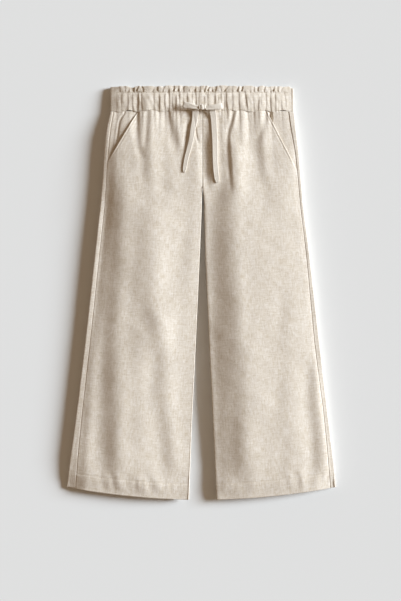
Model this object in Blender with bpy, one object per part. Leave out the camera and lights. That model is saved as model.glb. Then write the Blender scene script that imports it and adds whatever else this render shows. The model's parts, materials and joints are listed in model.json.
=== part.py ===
"""Linen drawstring trousers for a small child, laid flat with the front up.

X runs across the garment, Y from the hems to the waist, Z up from the surface
it lies on. The origin is under the middle of the whole outline. "Left" is -X.
Tables and sizes are in millimetres; MM turns them into metres.
"""

import math
from collections import namedtuple

import bmesh
import bpy
import numpy as np

MM = 0.001

# Cloth and seams
WALL = 1.2
DOUBLE_WALL = 2.4
SEAM_GAP = 0.3
SEAM_STRIP = 0.6

# Lengths from the waist seam: the heading frill is above it, the legs below
WAIST_SEAM_Y = 258.4
FRILL_STITCH_Y = 284.7
FRILL_TOP_Y = 294.0
CROTCH_Y = 125.0
HEM_LOW_Y = -294.0
HEM_DEPTH = 22.7
HALF_HEM_SPREAD = 192.7
HEM_CORNER_RISE = 18.0
HEM_CURVE = 1.9

# The layers roll round at the sides and at the inner legs
ROLL = 6.0
ROLL_TURNS = (0.0, 6.0, 35.0, 65.0, 90.0)
CENTRE_DIP_START_Y = 150.0
FRONT_COLUMNS = 19
CROWN_SKEW = 1.6
CROWN_REACH = 12.0

# Pocket facings lie under the front's slanted edge
FACING_SINK = 2.0
FACING_UNDERLAP = 9.0
FACING_TOE = 5.0

# Drawstring tape
TAPE_WIDTH = 6.6
TAPE_THICK = 1.2
KNOT_SIZE = (10.6, 7.6, 6.6)
KNOT_CENTRE = (1.3, 263.4)
KNOT_BEVEL = 1.6

LINEN = (0.74, 0.68, 0.58, 1.0)
LINEN_SHADE = (0.70, 0.63, 0.53, 1.0)
TAPE_LINEN = (0.80, 0.75, 0.66, 1.0)

# One row for each level across both legs, at the middle of the garment.
# outer/inner: the legs' edges. seam: how far the side seam lies in from the
# outer edge. edge: height of the rolled edges. crown: how much the cloth
# stands above them.
Section = namedtuple(
    "Section",
    "y outer_left inner_left inner_right outer_right seam_left seam_right edge crown",
)
SECTIONS = (
    Section(258.4, -130.0, 2.0, 2.0, 132.0, 5.0, 7.2, 12.0, 2.6),
    Section(231.5, -135.8, 2.0, 2.0, 134.5, 6.2, 6.0, 12.2, 3.6),
    Section(199.0, -138.9, 2.0, 2.0, 138.7, 6.2, 4.4, 12.5, 4.4),
    Section(160.0, -140.9, 2.0, 2.0, 141.9, 6.6, 3.8, 12.8, 5.0),
    Section(125.0, -143.8, 1.8, 2.2, 144.6, 7.0, 3.6, 13.0, 5.4),
    Section(50.0, -152.0, -1.3, 4.1, 154.0, 7.4, 4.2, 13.0, 6.0),
    Section(-80.0, -166.1, -7.3, 10.0, 168.2, 8.2, 6.6, 13.0, 6.4),
    Section(-180.0, -177.8, -12.1, 14.9, 179.4, 9.0, 5.2, 12.4, 6.0),
    Section(-240.0, -185.6, -14.5, 17.8, 186.4, 11.0, 6.4, 11.6, 4.8),
    Section(-294.0, -192.7, -16.5, 20.3, 192.7, 14.0, 8.2, 10.6, 3.4),
)

# Soft folds of the fronts, each along its path of x and y from its upper end. A
# trough is a hollow this deep. A bank is a step up towards +X: the cloth climbs
# in its middle and falls away on both sides. Each fades in and out at its ends.
Fold = namedtuple("Fold", "path width trough bank fade_in fade_out")
FOLDS = (
    Fold(((-122, 205), (-126, 135), (-127, 40), (-132, -40), (-126, -166), (-125, -292)),
         11.0, 0.0, 2.2, 40.0, 20.0),
    Fold(((-84, 4), (-68, -67), (-60, -152), (-48, -237), (-44, -280)), 8.0, 0.4, 1.8, 30.0, 30.0),
    Fold(((-83, 256), (-84, 205), (-83, 150)), 8.0, 1.6, 0.0, 8.0, 30.0),
    Fold(((-47, 262), (-40, 230), (-33, 196)), 7.0, 0.8, 1.0, 8.0, 25.0),
    Fold(((-19, 180), (-22, 111), (-28, 47), (-36, -30)), 11.0, 1.8, 0.0, 30.0, 60.0),
    Fold(((-94, 130), (-94, -20)), 24.0, 0.0, 1.4, 40.0, 40.0),
    Fold(((10, 240), (12, 150)), 7.0, 1.6, 1.0, 20.0, 20.0),
    Fold(((48, 262), (39, 224), (41, 190), (44, 140)), 7.0, 0.8, 1.2, 8.0, 30.0),
    Fold(((31, 155), (33, 60), (36, -60), (42, -170), (47, -220), (50, -275)),
         15.0, 0.0, 2.6, 30.0, 30.0),
    Fold(((16, 150), (17, -10)), 6.0, 1.2, 0.0, 30.0, 30.0),
    Fold(((76, 258), (81, 207), (89, 150)), 8.0, 0.8, 1.2, 8.0, 30.0),
    Fold(((106, 210), (106, 80)), 12.0, 0.0, 1.0, 25.0, 40.0),
    Fold(((156, -90), (159, -150), (168, -262)), 8.0, 0.0, 1.5, 30.0, 25.0),
    Fold(((108, -40), (114, -270)), 14.0, 0.8, 0.0, 40.0, 40.0),
)

# Gathers of the waistband's front, from -X to +X: creases in the elastic
Gather = namedtuple("Gather", "x depth")
GATHERS = (
    Gather(-121.0, 1.0),
    Gather(-105.0, 1.2),
    Gather(-97.8, 1.4),
    Gather(-90.3, 2.4),
    Gather(-67.4, 1.4),
    Gather(-60.3, 1.6),
    Gather(-46.2, 2.0),
    Gather(-36.9, 1.4),
    Gather(-20.3, 1.0),
    Gather(-8.4, 2.0),
    Gather(9.1, 1.2),
    Gather(18.9, 1.8),
    Gather(29.6, 1.2),
    Gather(35.4, 1.6),
    Gather(43.7, 1.0),
    Gather(53.5, 1.8),
    Gather(61.9, 2.0),
    Gather(74.0, 1.2),
    Gather(91.6, 1.8),
    Gather(98.4, 2.2),
    Gather(104.9, 1.8),
    Gather(113.7, 1.4),
)
GATHER_RISE = 1.5
BAND_END_RISE = 0.4
BACK_GATHERS = 13
BACK_GATHER_RISE = 0.6

# Levels of the waistband from the top: how strong its gathers are there, and
# how far the cloth stands out from the band's plain form
BandLevel = namedtuple("BandLevel", "y gather spread")
BAND_LEVELS = (
    BandLevel(FRILL_TOP_Y, 1.3, 0.9),
    BandLevel((FRILL_STITCH_Y + FRILL_TOP_Y) / 2.0, 0.9, 0.4),
    BandLevel(FRILL_STITCH_Y, 0.3, -1.0),
    BandLevel(277.0, 1.0, 0.2),
    BandLevel(267.0, 1.0, 0.2),
    BandLevel(WAIST_SEAM_Y + SEAM_GAP / 2.0, 0.8, 0.0),
)

# Pocket edges: straight from the waist seam down to the side seam
Pocket = namedtuple("Pocket", "top_x end_x end_y")
POCKETS = {
    "left": Pocket(-90.0, -132.6, 186.0),
    "right": Pocket(93.5, 134.8, 176.0),
}

SIDE = {"left": -1.0, "right": 1.0}
END_TURNS = tuple(math.radians(turn) for turn in (60.0, 30.0, 0.0, -30.0, -60.0))

# Routes of the drawstring's free ends, from under the bow: x and y
TAIL_ROUTES = {
    "left": (
        (-8.0, 262.4),
        (-9.2, 247.0),
        (-12.0, 232.0),
        (-14.6, 217.0),
        (-18.0, 203.0),
        (-21.6, 189.0),
        (-24.4, 171.6),
    ),
    "right": (
        (15.4, 262.4),
        (17.4, 249.0),
        (18.4, 234.0),
        (19.2, 217.0),
        (19.5, 203.0),
        (19.7, 189.0),
        (20.6, 174.0),
        (22.9, 156.4),
    ),
}
TAIL_STEP = 12.0
TAIL_CLIMB_Y = 244.0
TAIL_TIP_SHARE = 0.5

# The bow's loops: where each reaches, and the tape's way out to its fold and back
LOOP_REACH = {"left": (-27.0, 266.8), "right": (30.4, 265.8)}
LOOP_LIFT = 2.7
LoopStep = namedtuple("LoopStep", "along height width")
LOOP_STEPS = (
    LoopStep(0.0, 0.0, 0.85),
    LoopStep(0.5, 0.1, 1.0),
    LoopStep(0.88, 0.3, 1.1),
    LoopStep(0.98, 0.9, 1.15),
    LoopStep(1.0, 1.6, 1.15),
    LoopStep(0.96, 2.4, 1.15),
    LoopStep(0.86, 2.9, 1.1),
    LoopStep(0.5, 2.8, 1.0),
    LoopStep(0.0, 2.5, 0.85),
)


def column(name, y):
    """A section value at this level, read smoothly between the table's rows."""
    levels = [section.y for section in SECTIONS]
    values = [getattr(section, name) for section in SECTIONS]
    return float(np.interp(-y, [-level for level in levels], values))


def ease(amount):
    amount = min(max(amount, 0.0), 1.0)
    return amount * amount * (3.0 - 2.0 * amount)


def true_y(level, x):
    """The levels bend with the hems, which rise towards the sides."""
    spread = min(abs(x) / HALF_HEM_SPREAD, 1.0)
    rise = HEM_CORNER_RISE * spread**HEM_CURVE
    return level + rise * (WAIST_SEAM_Y - level) / (WAIST_SEAM_Y - HEM_LOW_Y)


def fold_height(x, y):
    height = 0.0
    for fold in FOLDS:
        top = fold.path[0][1]
        low = fold.path[-1][1]
        if not low < y < top:
            continue
        middle = np.interp(-y, [-point[1] for point in fold.path], [point[0] for point in fold.path])
        across = (x - middle) / fold.width
        shape = fold.bank * across * math.exp(-across * across / 2.0)
        shape -= fold.trough * math.exp(-across * across)
        height += shape * ease((top - y) / fold.fade_in) * ease((y - low) / fold.fade_out)
    return height


def rim_height(y, depth_in):
    """Height of the rolled edge at this distance in from the outline."""
    half = column("edge", y) / 2.0
    lean = (ROLL - min(depth_in, ROLL)) / ROLL
    return half * (1.0 + math.sqrt(max(0.0, 1.0 - lean * lean)))


def top_height(side, x, level):
    """Height of the cloth's upper face over one leg."""
    inner = column("inner_" + side, level)
    outer = column("outer_" + side, level)
    from_outer = abs(outer - x)
    across = min(max((x - inner) / (outer - inner), 0.0), 1.0)
    crown = column("crown", level) * math.cos(math.pi / 2.0 * across**CROWN_SKEW)
    settle = ease(from_outer / CROWN_REACH)
    return rim_height(level, from_outer) + settle * (crown + fold_height(x, true_y(level, x)))


def centre_dip(level):
    """0 where the two halves meet flat, 1 where the inner legs have rolled apart."""
    return ease((CENTRE_DIP_START_Y - level) / (CENTRE_DIP_START_Y - CROTCH_Y))


def meeting_height(level):
    """Height where front and back meet along the inner leg."""
    return column("edge", level) / 2.0


def pocket_x(side, level):
    pocket = POCKETS[side]
    along = (WAIST_SEAM_Y - level) / (WAIST_SEAM_Y - pocket.end_y)
    return pocket.top_x + (pocket.end_x - pocket.top_x) * along


def roll_length(level):
    """Length of cloth round the outer edge, from the floor to the top."""
    return math.pi * (ROLL + column("edge", level) / 2.0) / 2.0


def seam_travel(side, level):
    """How far round the outer edge the back's cloth goes, up to the side seam."""
    inset = column("seam_" + side, level)
    if inset < ROLL:
        turn = math.pi / 2.0 + math.acos(1.0 - inset / ROLL)
        return roll_length(level) * turn / math.pi
    return roll_length(level) + inset - ROLL


def edge_point(side, level, travel):
    """x and z on the outer edge's roll, this far round from the floor."""
    outer = column("outer_" + side, level)
    length = roll_length(level)
    if travel < length:
        turn = math.pi * travel / length - math.pi / 2.0
        inset = ROLL * (1.0 - math.cos(turn))
        x = outer - SIDE[side] * inset
        if turn < 0.0:
            return x, column("edge", level) / 2.0 * (1.0 + math.sin(turn))
        return x, top_height(side, x, level)
    x = outer - SIDE[side] * (ROLL + travel - length)
    return x, top_height(side, x, level)


def inner_roll_x(side, level, turn):
    clear = column("inner_" + side, level) + SIDE[side] * SEAM_GAP / 2.0
    return clear + SIDE[side] * ROLL * (1.0 - math.cos(turn))


def leg_levels(side):
    """Levels from the waist seam to the hem, closer together where the form turns."""
    pocket_end = POCKETS[side].end_y
    levels = list(np.linspace(WAIST_SEAM_Y - SEAM_GAP / 2.0, pocket_end, 6))
    levels += [166.0, CENTRE_DIP_START_Y, 136.0, CROTCH_Y]
    hem_fold = HEM_LOW_Y + HEM_DEPTH
    levels += list(np.linspace(CROTCH_Y, hem_fold, 9)[1:])
    return levels + [HEM_LOW_Y]


def front_row(side, level):
    pocket = POCKETS[side]
    dip = centre_dip(level)
    points = []
    for turn in np.radians(ROLL_TURNS):
        x = inner_roll_x(side, level, turn)
        crown = top_height(side, x, level)
        drop = dip * (crown - meeting_height(level) - SEAM_GAP / 2.0)
        points.append((x, true_y(level, x), crown - drop * (1.0 - math.sin(turn))))
    if level > pocket.end_y + SEAM_GAP:
        outer_x = pocket_x(side, level)
    else:
        outer_x, _ = edge_point(side, level, seam_travel(side, level) + SEAM_GAP)
    start_x = points[-1][0]
    strip_x = outer_x - SIDE[side] * SEAM_STRIP
    places = list(np.linspace(start_x, strip_x, FRONT_COLUMNS)[1:]) + [outer_x]
    for x in places:
        points.append((x, true_y(level, x), top_height(side, x, level)))
    return points


def back_row(side, level):
    dip = centre_dip(level)
    points = []
    for turn in np.radians(ROLL_TURNS):
        x = inner_roll_x(side, level, turn)
        lift = dip * (meeting_height(level) - SEAM_GAP / 2.0)
        points.append((x, true_y(level, x), lift * (1.0 - math.sin(turn))))
    start_x = points[-1][0]
    flat_end, _ = edge_point(side, level, 0.0)
    for share in np.linspace(0.0, 1.0, 6)[1:-1]:
        x = start_x + (flat_end - start_x) * share
        points.append((x, true_y(level, x), 0.0))
    seam = seam_travel(side, level)
    for travel in list(np.linspace(0.0, seam - SEAM_STRIP, 7)) + [seam]:
        x, z = edge_point(side, level, travel)
        points.append((x, true_y(level, x), z))
    return points


def facing_row(side, level):
    """Just under the front's edge, and out to the side seam."""
    start_x = pocket_x(side, level) - SIDE[side] * FACING_UNDERLAP
    end_x, _ = edge_point(side, level, seam_travel(side, level) + SEAM_GAP)
    points = []
    for share in np.linspace(0.0, 1.0, 8):
        x = start_x + (end_x - start_x) * share
        points.append((x, true_y(level, x), top_height(side, x, level) - FACING_SINK))
    return points


def waist_width(side):
    return column("outer_" + side, WAIST_SEAM_Y)


def band_edge():
    return column("edge", WAIST_SEAM_Y)


def band_front_columns():
    """x and rise of the waistband's front: a crease, then the ridge after it."""
    columns = []
    start = waist_width("left") + ROLL
    end = waist_width("right") - ROLL
    creases = [gather for gather in GATHERS if start < gather.x < end]
    columns.append((start, BAND_END_RISE))
    for gather, following in zip(creases, creases[1:] + [Gather(end, 0.0)]):
        columns.append((gather.x, -gather.depth))
        columns.append(((gather.x + following.x) / 2.0, GATHER_RISE))
    columns.append((end, BAND_END_RISE))
    return columns


def band_ring(level):
    """One closed loop of the waistband, from the front's left end round to the back."""
    half = band_edge() / 2.0
    left = waist_width("left")
    right = waist_width("right")
    points = []
    for x, rise in band_front_columns():
        arch = math.sin(math.pi * (x - left) / (right - left)) ** 0.5
        crown = column("crown", WAIST_SEAM_Y) * arch + level.spread
        points.append((x, 2.0 * half + crown + rise * level.gather))
    for turn in END_TURNS:
        points.append((right - ROLL * (1.0 - math.cos(turn)), half * (1.0 + math.sin(turn))))
    back = np.linspace(right - ROLL, left + ROLL, 2 * BACK_GATHERS + 1)
    for place, x in enumerate(back):
        points.append((x, BACK_GATHER_RISE * level.gather * (place % 2)))
    for turn in reversed(END_TURNS):
        points.append((left + ROLL * (1.0 - math.cos(turn)), half * (1.0 + math.sin(turn))))
    return [(x, level.y, z) for x, z in points]


def make_material(name, colour):
    material = bpy.data.materials.new(name)
    material.use_nodes = True
    shader = material.node_tree.nodes["Principled BSDF"]
    shader.inputs["Base Color"].default_value = colour
    shader.inputs["Roughness"].default_value = 0.92
    shader.inputs["Metallic"].default_value = 0.0
    return material


def add_object(name, mesh, colour):
    mesh.materials.append(make_material(name, colour))
    piece = bpy.data.objects.new(name, mesh)
    bpy.context.scene.collection.objects.link(piece)
    return piece


def sheet_object(name, rows, colour, wall=WALL, facing_up=True, hem_row=None, closed=False):
    """A cloth wall through these rows of points, thickened inwards."""
    bm = bmesh.new()
    grid = [[bm.verts.new([value * MM for value in point]) for point in row] for row in rows]
    wide = len(grid[0])
    for upper, lower in zip(grid, grid[1:]):
        for place in range(wide if closed else wide - 1):
            after = (place + 1) % wide
            corners = (upper[place], lower[place], lower[after], upper[after])
            bm.faces.new(corners)
    bmesh.ops.recalc_face_normals(bm, faces=bm.faces)
    bm.faces.ensure_lookup_table()
    middle = bm.faces[len(bm.faces) // 2]
    if not closed and (middle.normal.z > 0.0) != facing_up:
        bmesh.ops.reverse_faces(bm, faces=bm.faces)
    mesh = bpy.data.meshes.new(name)
    bm.to_mesh(mesh)
    bm.free()
    mesh.shade_smooth()
    piece = add_object(name, mesh, colour)
    solidify = piece.modifiers.new("Wall", "SOLIDIFY")
    solidify.thickness = wall * MM
    solidify.offset = -1.0
    if hem_row is not None:
        group = piece.vertex_groups.new(name="Turned up hem")
        first = hem_row * wide
        group.add(list(range(first)), wall / DOUBLE_WALL, "REPLACE")
        group.add(list(range(first, len(rows) * wide)), 1.0, "REPLACE")
        solidify.thickness = DOUBLE_WALL * MM
        solidify.vertex_group = group.name
    return piece


def build_legs():
    for side in SIDE:
        levels = leg_levels(side)
        hem_row = len(levels) - 2
        front = [front_row(side, level) for level in levels]
        back = [back_row(side, level) for level in levels]
        sheet_object("front_" + side, front, LINEN, hem_row=hem_row)
        sheet_object("back_" + side, back, LINEN, facing_up=False, hem_row=hem_row)


def build_facings():
    for side in SIDE:
        top = WAIST_SEAM_Y - SEAM_GAP / 2.0
        levels = np.linspace(top, POCKETS[side].end_y + FACING_TOE, 7)
        rows = [facing_row(side, level) for level in levels]
        sheet_object("pocket_facing_" + side, rows, LINEN_SHADE)


def build_waistband():
    rings = [band_ring(level) for level in BAND_LEVELS]
    sheet_object("waistband", rings, LINEN, wall=DOUBLE_WALL, closed=True)


def bow_floor():
    """The bow rests on the gathers' ridges."""
    return band_edge() + column("crown", WAIST_SEAM_Y) + GATHER_RISE + 0.4 + SEAM_GAP


def build_knot():
    mesh = bpy.data.meshes.new("drawstring_knot")
    bm = bmesh.new()
    bmesh.ops.create_cube(bm, size=1.0)
    for vert in bm.verts:
        vert.co.x *= KNOT_SIZE[0] * MM
        vert.co.y *= KNOT_SIZE[1] * MM
        vert.co.z *= KNOT_SIZE[2] * MM
    bmesh.ops.bevel(
        bm,
        geom=bm.edges[:],
        affect="EDGES",
        offset=KNOT_BEVEL * MM,
        segments=2,
        profile=0.5,
        material=-1,
    )
    bm.to_mesh(mesh)
    bm.free()
    mesh.shade_smooth()
    knot = add_object("drawstring_knot", mesh, TAPE_LINEN)
    height = bow_floor() + KNOT_SIZE[2] / 2.0
    knot.location = (KNOT_CENTRE[0] * MM, KNOT_CENTRE[1] * MM, height * MM)


def tape_row(centre, across, width):
    """The tape's two edges and its middle at one place, with the way across it."""
    half = np.array(across) * width / 2.0
    return [tuple(np.array(centre) - half), centre, tuple(np.array(centre) + half)]


def build_loops():
    lower = bow_floor() + LOOP_LIFT
    for side, (reach_x, reach_y) in LOOP_REACH.items():
        start_x = KNOT_CENTRE[0] + SIDE[side] * (KNOT_SIZE[0] / 2.0 + SEAM_GAP)
        start_y = KNOT_CENTRE[1]
        rows = []
        for step in LOOP_STEPS:
            x = start_x + (reach_x - start_x) * step.along
            y = start_y + (reach_y - start_y) * step.along
            centre = (x, y, lower + step.height)
            rows.append(tape_row(centre, (0.0, 1.0, 0.0), TAPE_WIDTH * step.width))
        piece = sheet_object("drawstring_loop_" + side, rows, TAPE_LINEN, wall=TAPE_THICK)
        piece.modifiers["Wall"].offset = 1.0


def tail_point(route, share):
    """A point along the route, read from a smooth curve through its points."""
    place = share * (len(route) - 1)
    low = min(int(place), len(route) - 2)
    part = place - low
    before = np.array(route[max(low - 1, 0)])
    start = np.array(route[low])
    end = np.array(route[low + 1])
    after = np.array(route[min(low + 2, len(route) - 1)])
    return 0.5 * (
        2.0 * start
        + (end - before) * part
        + (2.0 * before - 5.0 * start + 4.0 * end - after) * part**2
        + (3.0 * start - before - 3.0 * end + after) * part**3
    )


def tail_height(x, y):
    """Just above the fronts and, near the waist, above the gathers."""
    side = "left" if x < column("inner_left", y) else "right"
    reach = TAPE_WIDTH / 2.0 + 1.0
    cloth = max(top_height(side, x + step, y) for step in np.linspace(-reach, reach, 5))
    lowest = cloth + 2.0 * SEAM_GAP
    near_band = ease((y - TAIL_CLIMB_Y) / (WAIST_SEAM_Y - TAIL_CLIMB_Y))
    lowest += (max(bow_floor(), lowest) - lowest) * near_band
    return lowest + TAPE_THICK


def build_tails():
    for side, route in TAIL_ROUTES.items():
        count = int(abs(route[0][1] - route[-1][1]) / TAIL_STEP) + 2
        rows = []
        for share in np.linspace(0.0, 1.0, count):
            x, y = tail_point(route, share)
            way = tail_point(route, min(share + 0.02, 1.0)) - tail_point(route, max(share - 0.02, 0.0))
            way /= np.linalg.norm(way)
            width = TAPE_WIDTH * (TAIL_TIP_SHARE if share == 1.0 else 1.0)
            rows.append(tape_row((x, y, tail_height(x, y)), (-way[1], way[0], 0.0), width))
        sheet_object("drawstring_tail_" + side, rows, TAPE_LINEN, wall=TAPE_THICK)


def main():
    for leftover in list(bpy.data.objects):
        bpy.data.objects.remove(leftover, do_unlink=True)
    build_legs()
    build_facings()
    build_waistband()
    build_knot()
    build_loops()
    build_tails()


main()
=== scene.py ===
"""Linen drawstring trousers for a small child, laid flat with the front up.

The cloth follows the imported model's form: the same sections, seams and roll at
the edges, with the folds, gathers, turned hems, stitching and weave added.
Tables are in millimetres and MM turns them into metres. "Left" is -X.
"""

import json
import math
from collections import namedtuple

import bmesh
import bpy
import numpy as np
from mathutils import Matrix, Vector

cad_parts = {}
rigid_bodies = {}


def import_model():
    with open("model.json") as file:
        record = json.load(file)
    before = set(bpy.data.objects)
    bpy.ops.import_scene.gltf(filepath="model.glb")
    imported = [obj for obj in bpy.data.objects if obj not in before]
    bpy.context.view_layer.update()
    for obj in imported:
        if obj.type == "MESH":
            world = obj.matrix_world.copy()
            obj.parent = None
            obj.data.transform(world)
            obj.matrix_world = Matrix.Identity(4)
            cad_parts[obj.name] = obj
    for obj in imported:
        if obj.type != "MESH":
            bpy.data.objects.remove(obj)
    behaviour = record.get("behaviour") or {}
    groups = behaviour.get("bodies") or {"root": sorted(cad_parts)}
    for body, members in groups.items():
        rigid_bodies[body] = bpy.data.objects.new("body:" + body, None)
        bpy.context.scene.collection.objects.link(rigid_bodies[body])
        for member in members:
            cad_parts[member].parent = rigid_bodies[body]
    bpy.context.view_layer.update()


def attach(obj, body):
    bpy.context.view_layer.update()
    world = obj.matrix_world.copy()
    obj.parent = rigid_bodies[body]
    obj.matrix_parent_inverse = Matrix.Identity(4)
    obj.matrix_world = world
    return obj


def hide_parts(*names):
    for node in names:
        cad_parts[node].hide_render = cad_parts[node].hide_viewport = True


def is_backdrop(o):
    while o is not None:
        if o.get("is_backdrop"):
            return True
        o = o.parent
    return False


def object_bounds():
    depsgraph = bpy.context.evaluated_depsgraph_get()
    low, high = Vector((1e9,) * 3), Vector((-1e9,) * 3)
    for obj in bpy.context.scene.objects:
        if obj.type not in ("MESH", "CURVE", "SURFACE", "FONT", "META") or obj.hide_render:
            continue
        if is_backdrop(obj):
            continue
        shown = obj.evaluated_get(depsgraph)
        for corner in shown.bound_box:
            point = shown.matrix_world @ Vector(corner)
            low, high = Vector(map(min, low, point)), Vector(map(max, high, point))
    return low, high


for leftover in list(bpy.data.objects):
    bpy.data.objects.remove(leftover, do_unlink=True)
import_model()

bl_info = {
    "name": "Linen drawstring trousers",
    "version": (1, 0, 0),
    "blender": (4, 5, 0),
    "location": "View3D > Sidebar > Trousers",
    "description": "Lays out a child's linen trousers with their drawstring, gathers and folds",
    "category": "Object",
}

MM = 0.001
SIDE = {"left": -1.0, "right": 1.0}

# Levels, from the waist seam's heading frill down to the hems
WAIST_SEAM_Y = 258.4
FRILL_STITCH_Y = 284.7
FRILL_TOP_Y = 294.2
CROTCH_Y = 125.0
CENTRE_DIP_START_Y = 150.0
HEM_LOW_Y = -294.0
HEM_DEPTH = 22.7
HALF_HEM_SPREAD = 192.7
HEM_CORNER_RISE = 18.0
HEM_CURVE = 1.9
SEAM_GAP = 0.3

# The layers roll round at the sides and at the inner legs. A high squareness
# keeps the roll's shoulder full. The undercut is how far in its foot lies.
ROLL = 6.0
CROWN_SKEW = 1.6
CROWN_REACH = 12.0
INNER_SQUARENESS = {"left": 20.0, "right": 5.0}
OUTER_SQUARENESS = {"left": 6.0, "right": 16.0}
INNER_UNDERCUT = {"left": 16.0, "right": 6.0}
OUTER_UNDERCUT = {"left": 5.0, "right": 8.0}
EDGE_ROWS = (0.0, 1.5, 4.0, 8.0, 14.0, 24.0, 38.0, 56.0, 90.0)
BAND_END_TURNS = (80.0,) + EDGE_ROWS[-2::-1] + (-12.0, -26.0, -42.0, -60.0, -80.0)

# Each leg dips towards its edges, and the left one swells beside its outer edge
DIP_LEVELS = (-294.0, -240.0, -60.0, 60.0, 160.0)
INNER_DIP = {"left": (3.0, 4.2, 4.0, 2.4, 0.0), "right": (2.0, 4.5, 5.5, 4.5, 0.0)}
INNER_DIP_REACH = {"left": 74.0, "right": 54.0}
OUTER_DIP = {"left": (0.9, 0.9, 0.8, 0.0, 0.0), "right": (0.8, 0.8, 0.8, 0.8, 0.6)}
OUTER_DIP_REACH = {"left": 24.0, "right": 64.0}
OUTER_DIP_FADE = 60.0
LEFT_RISE_LEVELS = (-294.0, -150.0, 0.0, 60.0, 200.0, 235.0, 258.4)
LEFT_RISE = (0.2, 0.6, 2.2, 3.1, 3.7, 3.0, 0.6)
LEFT_RISE_REACH = 22.0
LEFT_RISE_FADE = 170.0
SWELL_REACH = 8.0

# Seams, seam allowances and the pocket facings below their openings
MEETING_SHARE = 0.45
SEAM_TUCK = 1.2
CENTRE_STEP = {"left": 0.0, "right": 0.5}
SEAM_STEP = {"front": {"left": 0.0, "right": 0.35}, "back": {"left": 0.35, "right": 0.0}}
FACING_SINK = 1.5
FACING_UNDERLAP = 9.0
FACING_RISE = {"left": 7.0, "right": 34.0}
FACING_TOE = -1.5
FACING_PLEAT = ((200.0, 245.0, 256.0), (-122.0, -116.0, -109.0))
FACING_PLEAT_DEPTH = 0.8
POCKET_NOTCH = (98.6, 249.5)
POCKET_NOTCH_DEPTH = 4.5

# Stitched rows and the edges beside them
WAIST_GROOVE = 0.35
HEM_STEP = 0.15
STITCH_GROOVE = 0.22
HEM_PUCKER = 0.42
HEM_FINE_PUCKER = 0.16
POCKET_EDGE_RISE = 0.4
POCKET_STITCH_INSET = 2.6
POCKET_STITCH_GROOVE = 0.35
POCKET_FADE = (4.0, 16.0)
FLY_LOW_Y = 200.0
FLY_GROOVE = 0.6
FLY_STEP = 0.25
STITCH_LIFT = 0.12
SEAM_STITCH_LIFT = 0.1
SEAM_STITCH_RISE = 2.2

# One row for each level across both legs, at the middle of the garment
Section = namedtuple(
    "Section",
    "y outer_left inner_left inner_right outer_right seam_left seam_right edge crown",
)
SECTIONS = [Section(*row) for row in (
    (258.4, -130, 2, 2, 132, 5, 7.2, 12, 2.6),
    (231.5, -135.8, 2, 2, 134.5, 6.2, 6, 12.2, 3.6),
    (199, -138.9, 2, 2, 138.7, 6.2, 4.4, 12.5, 4.4),
    (160, -140.9, 2, 2, 141.9, 6.6, 3.8, 12.8, 5),
    (125, -143.8, 1.8, 2.2, 144.6, 7, 3.6, 13, 5.4),
    (50, -152, -1.3, 4.1, 154, 7.4, 4.2, 13, 6),
    (-80, -166.1, -7.3, 10, 168.2, 8.2, 6.6, 13, 6.4),
    (-180, -177.8, -12.1, 14.9, 179.4, 9, 5.2, 12.4, 6),
    (-240, -185.6, -14.5, 17.8, 186.4, 11, 6.4, 11.6, 4.8),
    (-294, -192.7, -16.5, 20.3, 192.7, 14, 8.2, 10.6, 3.4),
)]

# The hems, their corners and the waistband's ends settle: shares of the height
CORNER_LEVELS = (-294.0, -284.0, -270.0, -245.0, 225.0, 240.0, 258.0, 285.0, 294.2)
CORNER_SAG = (0.46, 0.36, 0.2, 0.06, 0.0, 0.0, 0.0, 0.0, 0.0)
BAND_SAG = {
    "left": (0.0, 0.0, 0.0, 0.0, 0.06, 0.14, 0.26, 0.42, 0.54),
    "right": (0.0, 0.0, 0.0, 0.0, 0.0, 0.1, 0.2, 0.33, 0.4),
}
BAND_SAG_REACH = {"left": 72.0, "right": 95.0}
CORNER_REACH = 30.0
HEM_SAG = 0.22
HEM_SAG_REACH = 30.0

# Tables and fold paths run on past their ends, and their corners are eased
TABLE_REACH = 60.0
TABLE_SMOOTHING = 17
PATH_REACH = 30.0
PATH_PLACES = 240
PATH_SMOOTHING = 20

# The uneven swell of washed linen: waves of these lengths, low for their length
CRUMPLE_SEED = 11
CRUMPLES = 26
CRUMPLE_LENGTHS = (16.0, 75.0)
CRUMPLE_TURN = 1.1
CRUMPLE_RISE = 0.0009

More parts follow.
